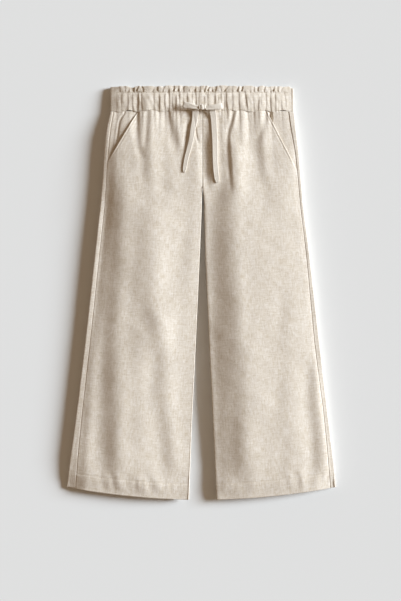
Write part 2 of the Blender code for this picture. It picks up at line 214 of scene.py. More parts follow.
# Folds of the fronts, each along its path of x and y from its upper end. A
# trough is a hollow this deep. A bank is a step up towards +X: the cloth climbs
# in its middle and falls away on both sides, and a minus turns it round.
Fold = namedtuple("Fold", "path width trough bank fade_in fade_out")
FOLDS = (
    # left leg
    Fold(((-120, 195), (-122, 150), (-124, 90), (-126, 30), (-130, -20), (-131, -81),
          (-130, -150), (-129, -215), (-127, -285)), 14.5, 0, 3.1, 70, 60),
    Fold(((-94, 230), (-92, 140)), 9, 0, 0.7, 20, 30),
    Fold(((-112, 250), (-118, 190), (-121, 100)), 12, 0.3, 0.2, 16, 50),
    Fold(((-82, 4), (-71, -35), (-63, -67), (-61, -109), (-60, -152), (-54, -195),
          (-48, -237), (-44, -280)), 12.5, 0.4, 2, 45, 50),
    Fold(((-91, 262), (-91, 230), (-88, 200), (-84, 185)), 5.4, 1.5, 0, 4, 22),
    Fold(((-76, 262), (-78, 230), (-81, 195)), 4.6, 1.2, 0, 4, 22),
    Fold(((-83, 212), (-83, 180), (-82, 140)), 8.5, 1.3, 0.3, 22, 40),
    Fold(((-48, 262), (-45, 248), (-40, 230), (-35, 210), (-32, 190)),
         6.6, 0.7, 1.3, 4, 32),
    Fold(((-16, 240), (-17, 185), (-19, 111), (-24, 47), (-32, -30)),
         11, 0.5, 0.5, 30, 70),
    Fold(((-15, 250), (-18, 224), (-22, 196)), 3.2, 0.7, 1.2, 14, 22),
    Fold(((-96, 150), (-95, 60), (-92, -40), (-90, -120)), 26, 0, 3, 50, 60),
    Fold(((-64, 262), (-62, 200), (-60, 120)), 9, 0, -0.9, 20, 40),
    Fold(((-48, 150), (-52, 60), (-56, -20)), 13, 0, -0.5, 50, 50),
    Fold(((-100, -30), (-98, -120), (-92, -230)), 20, -0.5, 0.5, 50, 60),
    Fold(((-158, -20), (-164, -140), (-172, -288)), 7, 0.4, 0.3, 70, 20),
    # right leg
    Fold(((9, 236), (9.5, 190), (12, 138)), 6.2, 1.3, 2.6, 30, 36),
    Fold(((49, 262), (44, 245), (38, 224), (40, 190), (43, 150), (45, 130)),
         2.7, 0.7, 0.8, 4, 50),
    Fold(((42, 218), (46, 170), (48, 120)), 8, 0, 1.3, 14, 40),
    Fold(((31, 170), (30, 100), (29, 50), (33, 0), (40, -60), (44, -110), (47, -165),
          (50, -220), (52, -278)), 19, 0, 2.1, 40, 40),
    Fold(((31, 232), (33, 190), (35, 150), (31, 105)), 11, 0, 2.3, 40, 50),
    Fold(((49, -150), (50, -270)), 10, 0.2, 0.4, 50, 35),
    Fold(((19, -10), (25, -150), (29, -292)), 12, 0, 1.3, 60, 20),
    Fold(((75, 262), (78, 240), (81, 207), (86, 165), (92, 140)), 8, 0.7, 1.4, 4, 40),
    Fold(((92, 262), (87, 235), (80, 212)), 4.8, 1.1, 0, 4, 18),
    Fold(((106, 220), (106, 80)), 15, 0, 1.3, 25, 60),
    Fold(((62, 250), (61, 200), (63, 120)), 10, 0, -0.8, 15, 50),
    Fold(((118, 30), (114, -120), (119, -270)), 14, 0.3, 0.6, 70, 50),
    Fold(((80, -30), (84, -200)), 17, -0.4, 0, 50, 50),
    Fold(((156, -80), (158, -150), (163, -195), (168, -272)), 9, 0, 1.7, 40, 25),
)

# Gathers of the waistband's front. lean: how far the crease moves towards +X on
# its way down. top and low: where it shows, from 0 at the frill to 1 at the seam.
Gather = namedtuple("Gather", "x lean depth width top low", defaults=(0.0, 1.0))
GATHERS = [Gather(*row) for row in (
    (-127, 0, 0.7, 1.5), (-121, 0.4, 0.8, 1.6), (-113, -0.5, 0.8, 1.5),
    (-105.2, 0.6, 0.9, 1.5), (-97.8, 0.4, 1.3, 1.7), (-90.3, 0.2, 2.3, 1.8, -0.3, 1.3),
    (-84.8, 0.6, 0.9, 1.3), (-67.4, 0.2, 1, 1.5), (-60.3, 0.8, 1.4, 1.6),
    (-52, 0.5, 0.9, 1.5, 0.1, 1), (-46.2, 0.4, 1.6, 1.7), (-40.9, 0.4, 0.8, 1.2, 0, 0.9),
    (-36.9, 0.6, 1.1, 1.4, 0.2, 1), (-31.1, 0.6, 0.9, 1.3), (-25.6, 0.3, 0.7, 1.3, 0, 0.8),
    (-20.3, 0.5, 0.9, 1.4), (-12.9, 0.2, 0.7, 1.4), (-8.4, 0.4, 1.5, 1.5, 0, 0.55),
    (-3.1, 0, 0.8, 1.4, 0.1, 1), (3.6, 0.5, 0.9, 1.5, 0.3, 1.1), (9.1, 0.8, 0.9, 1.4),
    (18.9, 0.4, 1.4, 1.6, 0, 0.55), (23.8, 0.5, 0.8, 1.4, 0.3, 1), (28.1, 0.6, 1, 1.3),
    (31.8, 0.8, 0.7, 1.2, 0.2, 1), (35.4, 1, 1.4, 1.6), (43.7, 0.8, 0.9, 1.5),
    (53.5, 0.6, 1.5, 1.7), (61.9, 4.1, 1.5, 1.6), (69.2, 1, 0.8, 1.4, 0.5, 1.1),
    (74, 0.8, 0.9, 1.4, 0.45, 1.1), (80.2, 0.8, 0.9, 1.5, 0.5, 1.1),
    (85.6, 0.4, 0.6, 1.5, 0, 0.6), (91.6, 0.6, 1.4, 1.6), (98.4, 0.4, 1.6, 1.7),
    (104.9, 0.6, 1.4, 1.6), (109.5, 0.4, 0.8, 1.3, 0.5, 1), (113.7, 0.6, 0.9, 1.3, 0.5, 1),
    (118, 3, 1.3, 1.6, 0, 0.7), (125, 0.8, 0.8, 1.5, 0.2, 1),
)]

# Creases of the heading frill: lean is towards +X on the way up
FrillCrease = namedtuple("FrillCrease", "x lean depth width")
FRILL_CREASES = [FrillCrease(*row) for row in (
    (-124, 0.6, 0.8, 1.6), (-116.5, -0.8, 0.7, 1.5), (-108.5, 0.6, 0.9, 1.6),
    (-102, 0, 0.8, 1.4), (-95.4, 0.6, 2.4, 1.9), (-91, 2.2, 1.3, 1.2), (-83.2, 0, 1.5, 1),
    (-67.6, 2.6, 1.2, 1.2), (-61.2, 0.4, 1.3, 1.3), (-53.1, 0.4, 1.4, 1.3),
    (-46.5, -0.6, 0.8, 1.2), (-39.2, 0.4, 1.3, 1.3), (-32.1, 0.5, 1.2, 1.3),
    (-24.3, -0.6, 1.3, 1.4), (-16.5, 0.6, 0.8, 1.3), (-8.7, 1.6, 1.3, 1.3),
    (-2, -0.8, 0.8, 1.2), (5.6, 4, 1.2, 1.3), (11.2, 0.3, 1.2, 1.1), (16.2, 0.5, 1.3, 1.2),
    (20.4, 0.4, 1.1, 1.2), (27.5, -0.5, 0.8, 1.3), (35.4, 5, 1.3, 1.3), (45, 0.5, 0.8, 1.3),
    (52.4, 0.2, 1.3, 1.3), (57.5, 2.4, 1.4, 1.3), (69.4, 0.4, 1.3, 1.4),
    (75.5, -0.5, 0.8, 1.3), (81.5, 0.4, 1.3, 1.4), (90, 0.5, 1.2, 1.3),
    (97.8, -0.5, 1.4, 1.4), (102.8, 0.4, 1.2, 1.2), (109.5, 0.6, 0.8, 1.3),
    (115.5, 2, 1.4, 1.3), (124, 0.4, 0.8, 1.4),
)]

# Waistband levels: how strong the gathers are and how far the casing stands out
BandLevel = namedtuple("BandLevel", "y gather spread")
BAND_LEVELS = [BandLevel(*row) for row in (
    (258.5, 0.75, -0.5), (260.5, 0.95, 0), (266, 1, 0.5), (272, 1, 0.6), (279, 1, 0.3),
    (283, 0.8, -0.5), (284.7, 0.6, -1.3), (286.4, 0.5, -0.6), (290, 0.3, 0.2),
    (295, 0.2, 0.4),
)]
BACK_GATHERS = 13
BACK_GATHER_RISE = 0.6
BAND_RIM = 0.9
BAND_ARCH = 0.75
BAND_END_REACH = 14.0
GATHER_SHARE = 0.62

# The frill's upper outline
FRILL_RAGGED = 0.8
FRILL_LOWEST = -1.4
FRILL_CORNERS = {"left": 0.8, "right": 3.6}
FRILL_CORNER_REACH = {"left": 7.0, "right": 9.0}

# Pocket edges: straight from the waist seam down to the side seam
Pocket = namedtuple("Pocket", "top_x end_x end_y")
POCKETS = {
    "left": Pocket(-90.0, -132.6, 186.0),
    "right": Pocket(93.5, 134.8, 176.0),
}

# The mock fly's stitched row
FLY_PATH = (
    (-10.8, 258.4), (-9.5, 248.0), (-8.2, 236.0), (-7.0, 226.0), (-4.6, 214.0), (-1.0, 203.0),
)

# The drawstring's tape: its free ends' routes, x and y, from under the bow
TAPE_THICK = 1.2
TAIL_ROUTES = {
    "left": (
        (-8.0, 262.4), (-9.2, 247.0), (-12.0, 232.0), (-14.6, 217.0), (-18.0, 203.0),
        (-21.6, 189.0), (-24.4, 171.6),
    ),
    "right": (
        (15.4, 262.4), (17.4, 249.0), (18.4, 234.0), (19.2, 217.0), (19.5, 203.0),
        (19.7, 189.0), (20.6, 174.0), (22.9, 156.4),
    ),
}
TAIL_WIDTHS = {"left": (9.2, 7.0, 5.0), "right": (8.8, 7.9, 6.8)}
TAIL_CLIMB_Y = 247.0
TAIL_FLARE_END = 0.35
TAIL_TIP_START = 0.93
TAIL_TIP_NARROWING = 0.4
TAIL_DRAPE = 0.35
TAPE_CLEARANCE = 0.3

# The bow: each loop runs out from the knot at its lower layer, turns and comes
# back above it. height and width are in shares of the tape's width.
KNOT_SIZE = (10.6, 7.6, 6.6)
KNOT_CENTRE = (1.3, 263.4)
KNOT_SQUARENESS = 3.2
KNOT_WRAP_X = 0.52
KNOT_WRAP_WIDTH = 0.13
KNOT_LEAN = 0.12
LoopStep = namedtuple("LoopStep", "along height width")
LOOP_STEPS = [LoopStep(*row) for row in (
    (0, 0.2, 0.8), (0.25, 0.1, 0.95), (0.5, 0.1, 1.1), (0.75, 0.2, 1.26), (0.9, 0.2, 1.27),
    (0.98, 0.5, 1.2), (1, 0.8, 1.12), (0.975, 1.2, 1.18), (0.88, 1.6, 1.3),
    (0.7, 1.9, 1.26), (0.45, 2.1, 1.1), (0.2, 2.2, 0.92), (0, 2.2, 0.8),
)]
LOOP_TWIST = {"left": -0.20, "right": 0.12}
LOOP_ARCH = {"left": -1.0, "right": 1.2}
LOOP_REACH = {"left": (-26.2, 267.0), "right": (30.0, 265.2)}
LOOP_LIFT = 2.7
LOOP_WALL = 0.0008
LOOP_ROWS = 64
BOW_FLOOR = 16.8

# The stage
FLOOR_HALF = 8.0
FLOOR_DROP = 0.0003
KEY_COLOUR = (0.90, 1.0, 1.085)
FILL_COLOUR = (1.0, 0.73, 0.48, 1.0)
SENSOR = 36.0
VIEW_HEIGHT = 0.853
VIEW_SHIFT = (-0.0009, -0.0107)


def ease(amount):
    amount = np.clip(amount, 0.0, 1.0)
    return amount * amount * (3.0 - 2.0 * amount)


def hump(distance, width):
    """1 at no distance, falling away over the width."""
    return np.exp(-((distance / width) ** 2))


def level_ground(x, y):
    """Nought for every pair of x and y."""
    return np.zeros(np.broadcast(x, y).shape)


def smoothed(values, reach):
    """The values with their corners eased over this many places on each side."""
    kernel = np.hanning(2 * reach + 1)
    return np.convolve(np.pad(values, reach, mode="edge"), kernel / kernel.sum(), "valid")


def walked_along(points):
    """Distance along a line of points, from its start to each of them."""
    steps = np.linalg.norm(np.diff(points, axis=0), axis=1)
    return np.concatenate([[0.0], np.cumsum(steps)])


def smooth_table(rows, field):
    """The table's column at every millimetre, with its corners eased."""
    ys = np.array([row.y for row in rows])[::-1]
    values = np.array([getattr(row, field) for row in rows])[::-1]
    low = values[0] - (values[1] - values[0]) / (ys[1] - ys[0]) * TABLE_REACH
    high = values[-1] + (values[-1] - values[-2]) / (ys[-1] - ys[-2]) * TABLE_REACH
    ys = np.concatenate([[ys[0] - TABLE_REACH], ys, [ys[-1] + TABLE_REACH]])
    values = np.concatenate([[low], values, [high]])
    places = np.arange(ys[0], ys[-1], 1.0)
    return places, smoothed(np.interp(places, ys, values), TABLE_SMOOTHING)


COLUMNS = {field: smooth_table(SECTIONS, field) for field in Section._fields[1:]}


def column(name, level):
    """One of the sections' measures at this level."""
    places, values = COLUMNS[name]
    return np.interp(level, places, values)


def true_y(level, x):
    """The levels bend with the hems, which rise towards the sides."""
    spread = np.minimum(np.abs(x) / HALF_HEM_SPREAD, 1.0)
    rise = HEM_CORNER_RISE * spread**HEM_CURVE
    return level + rise * (WAIST_SEAM_Y - level) / (WAIST_SEAM_Y - HEM_LOW_Y)


def path_x(path, y):
    """x of a fold's path at these heights, as a smooth curve through its points."""
    ys = np.array([point[1] for point in path], float)[::-1]
    xs = np.array([point[0] for point in path], float)[::-1]
    places = np.linspace(ys[0] - PATH_REACH, ys[-1] + PATH_REACH, PATH_PLACES)
    return np.interp(y, places, smoothed(np.interp(places, ys, xs), PATH_SMOOTHING))


def fold_height(x, y):
    """Height that the folds add or take away."""
    height = level_ground(x, y)
    for fold in FOLDS:
        across = (x - path_x(fold.path, y)) / fold.width
        shape = fold.bank * across * np.exp(-across * across / 2.0)
        shape -= fold.trough * np.exp(-across * across)
        top, low = fold.path[0][1], fold.path[-1][1]
        height += shape * ease((top - y) / fold.fade_in) * ease((y - low) / fold.fade_out)
    return height


def crumple(x, y):
    """The small uneven swell of washed linen."""
    rng = np.random.default_rng(CRUMPLE_SEED)
    height = level_ground(x, y)
    for _ in range(CRUMPLES):
        length = rng.uniform(*CRUMPLE_LENGTHS)
        turn = rng.uniform(-CRUMPLE_TURN, CRUMPLE_TURN)
        phase = rng.uniform(0.0, 2.0 * math.pi, 2)
        drift = 0.6 * np.sin((x + y) / 47.0 + phase[0]) + 0.5 * np.sin((x - y) / 71.0)
        wave = (x * math.cos(turn) + y * math.sin(turn)) * 2.0 * math.pi / length
        height += CRUMPLE_RISE * length * np.sin(wave + phase[1] + drift)
    return height


def rounded(lean, squareness):
    """1 where the roll is on top, 0 at the outline, where lean is 1."""
    return np.maximum(0.0, 1.0 - np.clip(lean, 0.0, 1.0) ** squareness) ** (1.0 / squareness)


def rim_height(side, level, depth_in):
    """Height of the rolled edge at this distance in from the outline."""
    lean = (ROLL - np.minimum(depth_in, ROLL)) / ROLL
    return column("edge", level) / 2.0 * (1.0 + rounded(lean, OUTER_SQUARENESS[side]))


def hem_sag(level):
    """The last of the leg settles towards its hem."""
    return HEM_SAG * ease(1.0 - (level - HEM_LOW_Y) / HEM_SAG_REACH) ** 2


def corner_settling(side, y, from_outer):
    """The corners at the hems and the ends of the waistband lie lower."""
    sag = np.interp(y, CORNER_LEVELS, CORNER_SAG) * ease(1.0 - from_outer / CORNER_REACH)
    end_share = np.clip(1.0 - from_outer / BAND_SAG_REACH[side], 0.0, 1.0)
    end = np.interp(y, CORNER_LEVELS, BAND_SAG[side]) * end_share**2
    return (1.0 - sag) * (1.0 - end) * (1.0 - hem_sag(y))


def top_height(side, x, level):
    """Height of the cloth's upper face over one leg."""
    inner = column("inner_" + side, level)
    outer = column("outer_" + side, level)
    from_outer = np.abs(outer - x)
    across = np.clip((x - inner) / (outer - inner), 0.0, 1.0)
    crown = column("crown", level) * np.cos(math.pi / 2.0 * across**CROWN_SKEW)
    dip = np.interp(level, DIP_LEVELS, INNER_DIP[side])
    crown = crown - dip * ease(1.0 - np.abs(x - inner) / INNER_DIP_REACH[side])
    outer_dip = np.interp(level, DIP_LEVELS, OUTER_DIP[side])
    outer_dip = outer_dip * ease(1.0 - from_outer / OUTER_DIP_REACH[side])
    y = true_y(level, x)
    settle = ease(from_outer / CROWN_REACH)
    swell = crumple(x, y) * ease(from_outer / SWELL_REACH)
    height = rim_height(side, level, from_outer) + settle * (crown + fold_height(x, y)) + swell
    if side == "left":
        rise = np.interp(level, LEFT_RISE_LEVELS, LEFT_RISE) * ease(from_outer / LEFT_RISE_REACH)
        height = height + rise * ease(1.0 - from_outer / LEFT_RISE_FADE)
    height = height - outer_dip * ease((WAIST_SEAM_Y - level) / OUTER_DIP_FADE)
    return height * corner_settling(side, level, from_outer)


def meeting_height(level):
    """Height of the inseam, where a front and a back meet."""
    return MEETING_SHARE * column("edge", level) * (1.0 - hem_sag(level))


def centre_dip(level):
    """0 where the two halves meet flat, 1 where the inner legs have rolled apart."""
    return ease((CENTRE_DIP_START_Y - level) / (CENTRE_DIP_START_Y - CROTCH_Y))


def pocket_x(side, level):
    """x of the straight pocket edge, and of its line beyond it."""
    pocket = POCKETS[side]
    along = (WAIST_SEAM_Y - level) / (WAIST_SEAM_Y - pocket.end_y)
    return pocket.top_x + (pocket.end_x - pocket.top_x) * along


def roll_length(level):
    """Length of cloth that goes round the outer edge, from the floor to its top."""
    return math.pi * (ROLL + column("edge", level) / 2.0) / 2.0


def seam_travel(side, level):
    """How far round the outer edge the back's cloth goes, up to the side seam."""
    inset = column("seam_" + side, level)
    turn = math.pi / 2.0 + np.arccos(np.clip(1.0 - inset / ROLL, -1.0, 1.0))
    length = roll_length(level)
    return np.where(inset < ROLL, length * turn / math.pi, length + inset - ROLL)


def edge_point(side, level, travel):
    """x and z on the outer edge's roll, this far round from the floor."""
    outer = column("outer_" + side, level)
    length = roll_length(level)
    turn = math.pi * np.minimum(travel, length) / length - math.pi / 2.0
    inset = np.where(travel < length, ROLL * (1.0 - np.cos(turn)), ROLL + travel - length)
    x = outer - SIDE[side] * inset
    low = column("edge", level) / 2.0 * (1.0 + np.sin(turn)) * corner_settling(side, level, inset)
    z = np.where(turn < 0.0, low, top_height(side, x, level))
    top = top_height(side, outer - SIDE[side] * ROLL / 2.0, level)
    under = np.clip(1.0 - z / top, 0.0, 1.0) * (inset < ROLL + 0.01)
    return x - SIDE[side] * OUTER_UNDERCUT[side] * under, z


def gathers_at(x, share):
    """Depth of the waistband's creases. share is 0 at the frill's stitching and
    1 at the waist seam."""
    height = level_ground(x, share)
    for number, gather in enumerate(GATHERS):
        bend = (1.1 * np.sin(math.pi * share) - 0.8 * share) * math.sin(number * 2.7)
        away = x - gather.x - gather.lean * np.clip(share, 0.0, 1.0) - bend
        shown = ease((share - gather.top + 0.2) / 0.2) * ease((gather.low + 0.2 - share) / 0.2)
        beat = share * (0.5 + 0.2 * (number % 3)) + 0.31 * number
        pinch = 0.8 + 0.2 * np.cos(2.0 * math.pi * beat)
        width = gather.width * np.where(away < 0.0, 3.3, 0.6)
        height -= GATHER_SHARE * shown * pinch * gather.depth * hump(away, width)
    return height


def puffs(x, share):
    """The casing swells between its gathers, each swell at its own height."""
    height = level_ground(x, share)
    for number, (gather, after) in enumerate(zip(GATHERS, GATHERS[1:])):
        start, end = gather.x, after.x
        middle = (start + end) / 2.0 + 0.8 * math.sin(number * 1.9)
        centre = 0.5 + 0.32 * math.sin(number * 2.3 + 0.7)
        tall = 0.34 + 0.16 * math.sin(number * 3.1)
        swell = 0.045 * (end - start) * (0.8 + 0.4 * math.sin(number * 4.3))
        reach = hump(share - centre, tall)
        height += swell * hump(x - middle, 0.42 * (end - start)) * (0.35 + 0.65 * reach)
    return height


def gathers_below(x, level):
    """The gathers run out in the fronts below the waist seam."""
    height = level_ground(x, level)
    drop = np.maximum(WAIST_SEAM_Y - level, 0.0)
    for number, gather in enumerate(GATHERS):
        if gather.low < 0.9:
            continue
        reach = 11.0 + 9.0 * gather.depth + 7.0 * ((number * 7) % 5)
        width = gather.width * (1.25 + drop / 30.0)
        away = x - gather.x - gather.lean - 0.05 * drop * math.sin(number * 2.1)
        width = width * np.where(away < 0.0, 1.5, 0.8)
        height -= 0.6 * gather.depth * hump(away, width) * np.exp(-((drop / reach) ** 1.4))
    return height


def hem_marks(side, x, level):
    """The stitched row of the turned hem, its thicker fold and the puckers along it."""
    row = HEM_LOW_Y + HEM_DEPTH
    away = level - row
    height = HEM_STEP * ease(-away / 2.0) - STITCH_GROOVE * hump(away, 1.4)
    beat = x / 9.3 + 1.3 * np.sin(x / 23.0 + SIDE[side]) + 0.7 * np.sin(x / 11.0)
    strength = 0.55 + 0.45 * np.sin(x / 31.0 + 2.0 * SIDE[side])
    slant = away / 13.0
    below = hump(away + 8.0, 9.0)
    above = 0.6 * hump(away - 5.0, 6.0)
    fine = HEM_FINE_PUCKER * np.sin(x / 2.1 + 1.9 * np.sin(x / 7.0)) * hump(away + 4.0, 7.0)
    return height + strength * (HEM_PUCKER * np.sin(beat * 2.0 + slant) * (below + above) + fine)


def edge_of_front(side, level):
    """Where the front ends on its outer side: the pocket's edge, then the side seam."""
    seam_x, _ = edge_point(side, level, seam_travel(side, level) + SEAM_GAP)
    pocket_in = SIDE[side] * pocket_x(side, level)
    seam_in = SIDE[side] * seam_x
    return SIDE[side] * np.minimum(pocket_in, seam_in)


def front_height(side, x, level):
    """The front's upper face with its seams, pocket edge and stitched rows."""
    height = top_height(side, x, level) + gathers_below(x, level) + hem_marks(side, x, level)
    height -= WAIST_GROOVE * hump(WAIST_SEAM_Y - level, 3.0)
    in_from_edge = np.abs(x - edge_of_front(side, level))
    in_pocket = ease((level - POCKETS[side].end_y - POCKET_FADE[0]) / POCKET_FADE[1])
    groove = POCKET_STITCH_GROOVE * hump(in_from_edge - POCKET_STITCH_INSET, 0.8)
    height += in_pocket * (POCKET_EDGE_RISE * hump(in_from_edge, 5.0) - groove)
    height -= (1.0 - in_pocket) * SEAM_STEP["front"][side] * hump(in_from_edge, 0.7)
    from_middle = np.abs(x - column("inner_" + side, level))
    upper = 1.0 - centre_dip(level)
    height -= upper * CENTRE_STEP[side] * hump(from_middle, 0.8)
    if side == "left":
        fly = path_x(FLY_PATH, level)
        shown = ease((level - FLY_LOW_Y) / 6.0)
        height -= shown * FLY_GROOVE * hump(x - fly, 1.1)
        height += shown * FLY_STEP * ease((x - fly) / 2.0)
    return height


def seam_wave(x):
    """The waist seam is drawn up and down a little by the gathers."""
    wide = 0.8 * np.sin(x / 6.1 + 1.2 * np.sin(x / 15.0))
    return wide + 0.5 * np.sin(x / 2.9 + 0.8 * np.sin(x / 7.0))


def spread_places(stops, spacings):
    """Places from the first stop to the last, this far apart at each stop."""
    fine = np.linspace(stops[0], stops[-1], 4000)
    order = np.argsort(stops)
    gap = np.interp(fine, np.array(stops)[order], np.array(spacings)[order])
    count = np.concatenate([[0.0], np.cumsum(np.abs(np.diff(fine)) / gap[1:])])
    steps = int(math.ceil(count[-1]))
    return np.interp(np.linspace(0.0, count[-1], steps + 1), count, fine)


def leg_levels(spacing):
    """Levels from the waist seam to the hem, closer where the seams lie."""
    stops = (WAIST_SEAM_Y - SEAM_GAP / 2.0, 236.0, 140.0, -250.0, -264.0, -278.0, HEM_LOW_Y)
    gaps = (0.9, 1.5, 1.8, 2.0, 1.0, 1.0, 1.2)
    return spread_places(stops, [gap * spacing for gap in gaps])


def tucked(surface, side, outwards):
    """The sheet with its seam allowances: under the back at the side, or turned
    back where outwards is below nought, and under the waistband on top."""
    under = surface[:, -1:] - (0.0, 0.0, SEAM_TUCK)
    under[:, :, 0] += SIDE[side] * SEAM_TUCK * outwards
    surface = np.concatenate([surface, under], axis=1)
    return np.concatenate([surface[:1] + (0.0, SEAM_TUCK, -1.5 * SEAM_TUCK), surface], axis=0)


def front_surface(side):
    """One front: up round the inner leg's roll, then across to its outer edge."""
    levels = leg_levels(1.0)[:, None]
    turns = np.radians(EDGE_ROWS)[None, :]
    inner = column("inner_" + side, levels) + SIDE[side] * SEAM_GAP / 2.0
    roll_x = inner + SIDE[side] * ROLL * (1.0 - np.cos(turns))
    start = roll_x[:, -1:]
    end = edge_of_front(side, levels)
    share = spread_places((0.0, 0.94, 1.0), (0.0094, 0.0094, 0.0045))[None, 1:]
    x = np.concatenate([roll_x, start + (end - start) * share], axis=1)
    z = front_height(side, x, levels)
    sunk = centre_dip(levels) * (1.0 - rounded(np.cos(turns), INNER_SQUARENESS[side]))
    z[:, : turns.size] -= sunk * (z[:, : turns.size] - meeting_height(levels) - SEAM_GAP / 2.0)
    x[:, : turns.size] += SIDE[side] * INNER_UNDERCUT[side] * sunk
    y = true_y(levels, x) + seam_wave(x) * hump(WAIST_SEAM_Y - levels, 9.0)
    at_seam = 1.0 - 1.6 * ease((levels - POCKETS[side].end_y) / 4.0)
    return tucked(np.stack([x, y, z], axis=2), side, at_seam)


def back_surface(side):
    """One back: down from the inseam, under the leg and up round the outer edge."""
    levels = leg_levels(2.0)[:, None]
    turns = np.radians(np.linspace(0.0, 90.0, 9))[None, :]
    inner = column("inner_" + side, levels) + SIDE[side] * SEAM_GAP / 2.0
    drawn_in = INNER_UNDERCUT[side] * centre_dip(levels)
    roll_x = inner + SIDE[side] * (drawn_in + ROLL * (1.0 - np.cos(turns)))
    lift = centre_dip(levels) * (meeting_height(levels) - SEAM_GAP / 2.0)
    start = roll_x[:, -1:]
    flat_end, _ = edge_point(side, levels, np.zeros_like(levels))
    share = np.linspace(0.0, 1.0, 19)[None, 1:-1]
    flat_x = start + (flat_end - start) * share
    travel = seam_travel(side, levels) * np.linspace(0.0, 1.0, 34)[None, :]
    edge_x, edge_z = edge_point(side, levels, travel)
    from_seam = seam_travel(side, levels) - travel
    edge_z = edge_z - SEAM_STEP["back"][side] * hump(from_seam, 0.7)
    edge_z = edge_z + hem_marks(side, edge_x, levels) * ease((travel - 8.0) / 6.0)
    x = np.concatenate([roll_x, flat_x, edge_x], axis=1)
    z = np.concatenate([lift * (1.0 - np.sin(turns)), 0.0 * flat_x, edge_z], axis=1)
    return np.stack([x, true_y(levels, x), np.maximum(z, 0.0)], axis=2)


def facing_surface(side):
    """The facing that shows between the pocket's edge and the side seam."""
    top = WAIST_SEAM_Y - SEAM_GAP / 2.0
    levels = np.linspace(top, POCKETS[side].end_y + FACING_TOE, 60)[:, None]
    start = pocket_x(side, levels) - SIDE[side] * FACING_UNDERLAP
    end, _ = edge_point(side, levels, seam_travel(side, levels) + SEAM_GAP)
    x = start + (end - start) * np.linspace(0.0, 1.0, 46)[None, :]
    z = top_height(side, x, levels) - FACING_SINK
    z = z + 0.5 * gathers_below(x, levels)
    if side == "left":
        z = z - FACING_PLEAT_DEPTH * hump(x - np.interp(levels, *FACING_PLEAT), 1.6)
    else:
        notch_x, notch_y = POCKET_NOTCH
        z = z - POCKET_NOTCH_DEPTH * hump(x - notch_x, 2.0) * hump(levels - notch_y, 6.0)
    in_from_seam = np.abs(x - end)
    z = z + (FACING_SINK - 0.3) * ease(1.0 - in_from_seam / FACING_RISE[side])
    z = z - 0.2 * hump(in_from_seam, 1.0)
    return tucked(np.stack([x, true_y(levels, x), z], axis=2), side, 1.0)


def frill_pattern(x, rise):
    """Creases and waves of the heading frill. rise is 0 at its stitching, 1 on top."""
    height = level_ground(x, rise)
    for number, crease in enumerate(FRILL_CREASES):
        lean = crease.lean + 2.2 * math.sin(number * 2.9)
        sway = 0.9 * math.sin(number * 1.3) * np.sin(3.4 * rise)
        away = x - crease.x - lean * (rise - 0.5) - sway
        width = crease.width * np.where(away < 0.0, 3.0 + 1.4 * math.sin(number * 1.7), 0.6)
        pinch = 0.55 + 0.45 * math.sin(number * 3.7) * np.cos(3.0 * rise + number)
        height -= crease.depth * pinch * hump(away, width)
        up = rise - (0.08 + 0.3 * math.sin(number * 4.1) ** 2)
        knot = hump(away - 1.4, 1.1) * hump(up, 0.13) - hump(away + 0.6, 1.2) * hump(up, 0.2)
        height += (0.9 + 0.5 * math.sin(number * 5.3)) * knot
    return height


def band_front_height(x, y):
    """Height of the waistband's front, with its gathers and the frill above them."""
    left = column("outer_left", WAIST_SEAM_Y)
    right = column("outer_right", WAIST_SEAM_Y)
    edge = column("edge", WAIST_SEAM_Y)
    arch = np.sin(math.pi * np.clip((x - left) / (right - left), 0.0, 1.0)) ** BAND_ARCH
    ys = [level.y for level in BAND_LEVELS]
    strength = np.interp(y, ys, [level.gather for level in BAND_LEVELS])
    spread = np.interp(y, ys, [level.spread for level in BAND_LEVELS])
    share = (FRILL_STITCH_Y - y) / (FRILL_STITCH_Y - WAIST_SEAM_Y)
    rise = np.clip((y - FRILL_STITCH_Y) / (FRILL_TOP_Y - FRILL_STITCH_Y), 0.0, 1.0)
    near_ends = ease((x - left - 2.0) / BAND_END_REACH)
    near_ends = near_ends * ease((right - 2.0 - x) / BAND_END_REACH)
    waves = strength * (gathers_at(x, share) + puffs(x, share))
    waves = waves + (0.55 + 0.45 * rise) * ease(rise * 3.0) * frill_pattern(x, rise)
    small = 0.1 * np.sin(x / 1.5 + y / 3.1 + 1.7 * np.sin(x / 13.0)) * np.sin(x / 17.0 + y / 8.0)
    small = small + 0.16 * np.sin(x / 3.3 - y / 4.7 + 1.4 * np.sin(y / 6.0))
    crown = column("crown", WAIST_SEAM_Y) * arch
    height = edge + crown + near_ends * (spread + waves + small) - BAND_RIM * (1.0 - near_ends)
    at_left = corner_settling("left", y, x - left)
    return height * np.where(x < 0.0, at_left, corner_settling("right", y, right - x))


def frill_top(x, right):
    """The frill's upper outline, uneven between its creases."""
    drop, reach = FRILL_CORNERS, FRILL_CORNER_REACH
    top = FRILL_TOP_Y + FRILL_RAGGED * np.maximum(frill_pattern(x, 1.0), FRILL_LOWEST)
    top = top + 0.8 * np.sin(x / 5.1 + 2.2 * np.sin(x / 14.0)) * np.sin(x / 19.0 + 0.6)
    top = top - drop["right"] * ease((x - right + reach["right"]) / reach["right"])
    return top - drop["left"] * ease((reach["left"] - x - right) / reach["left"])


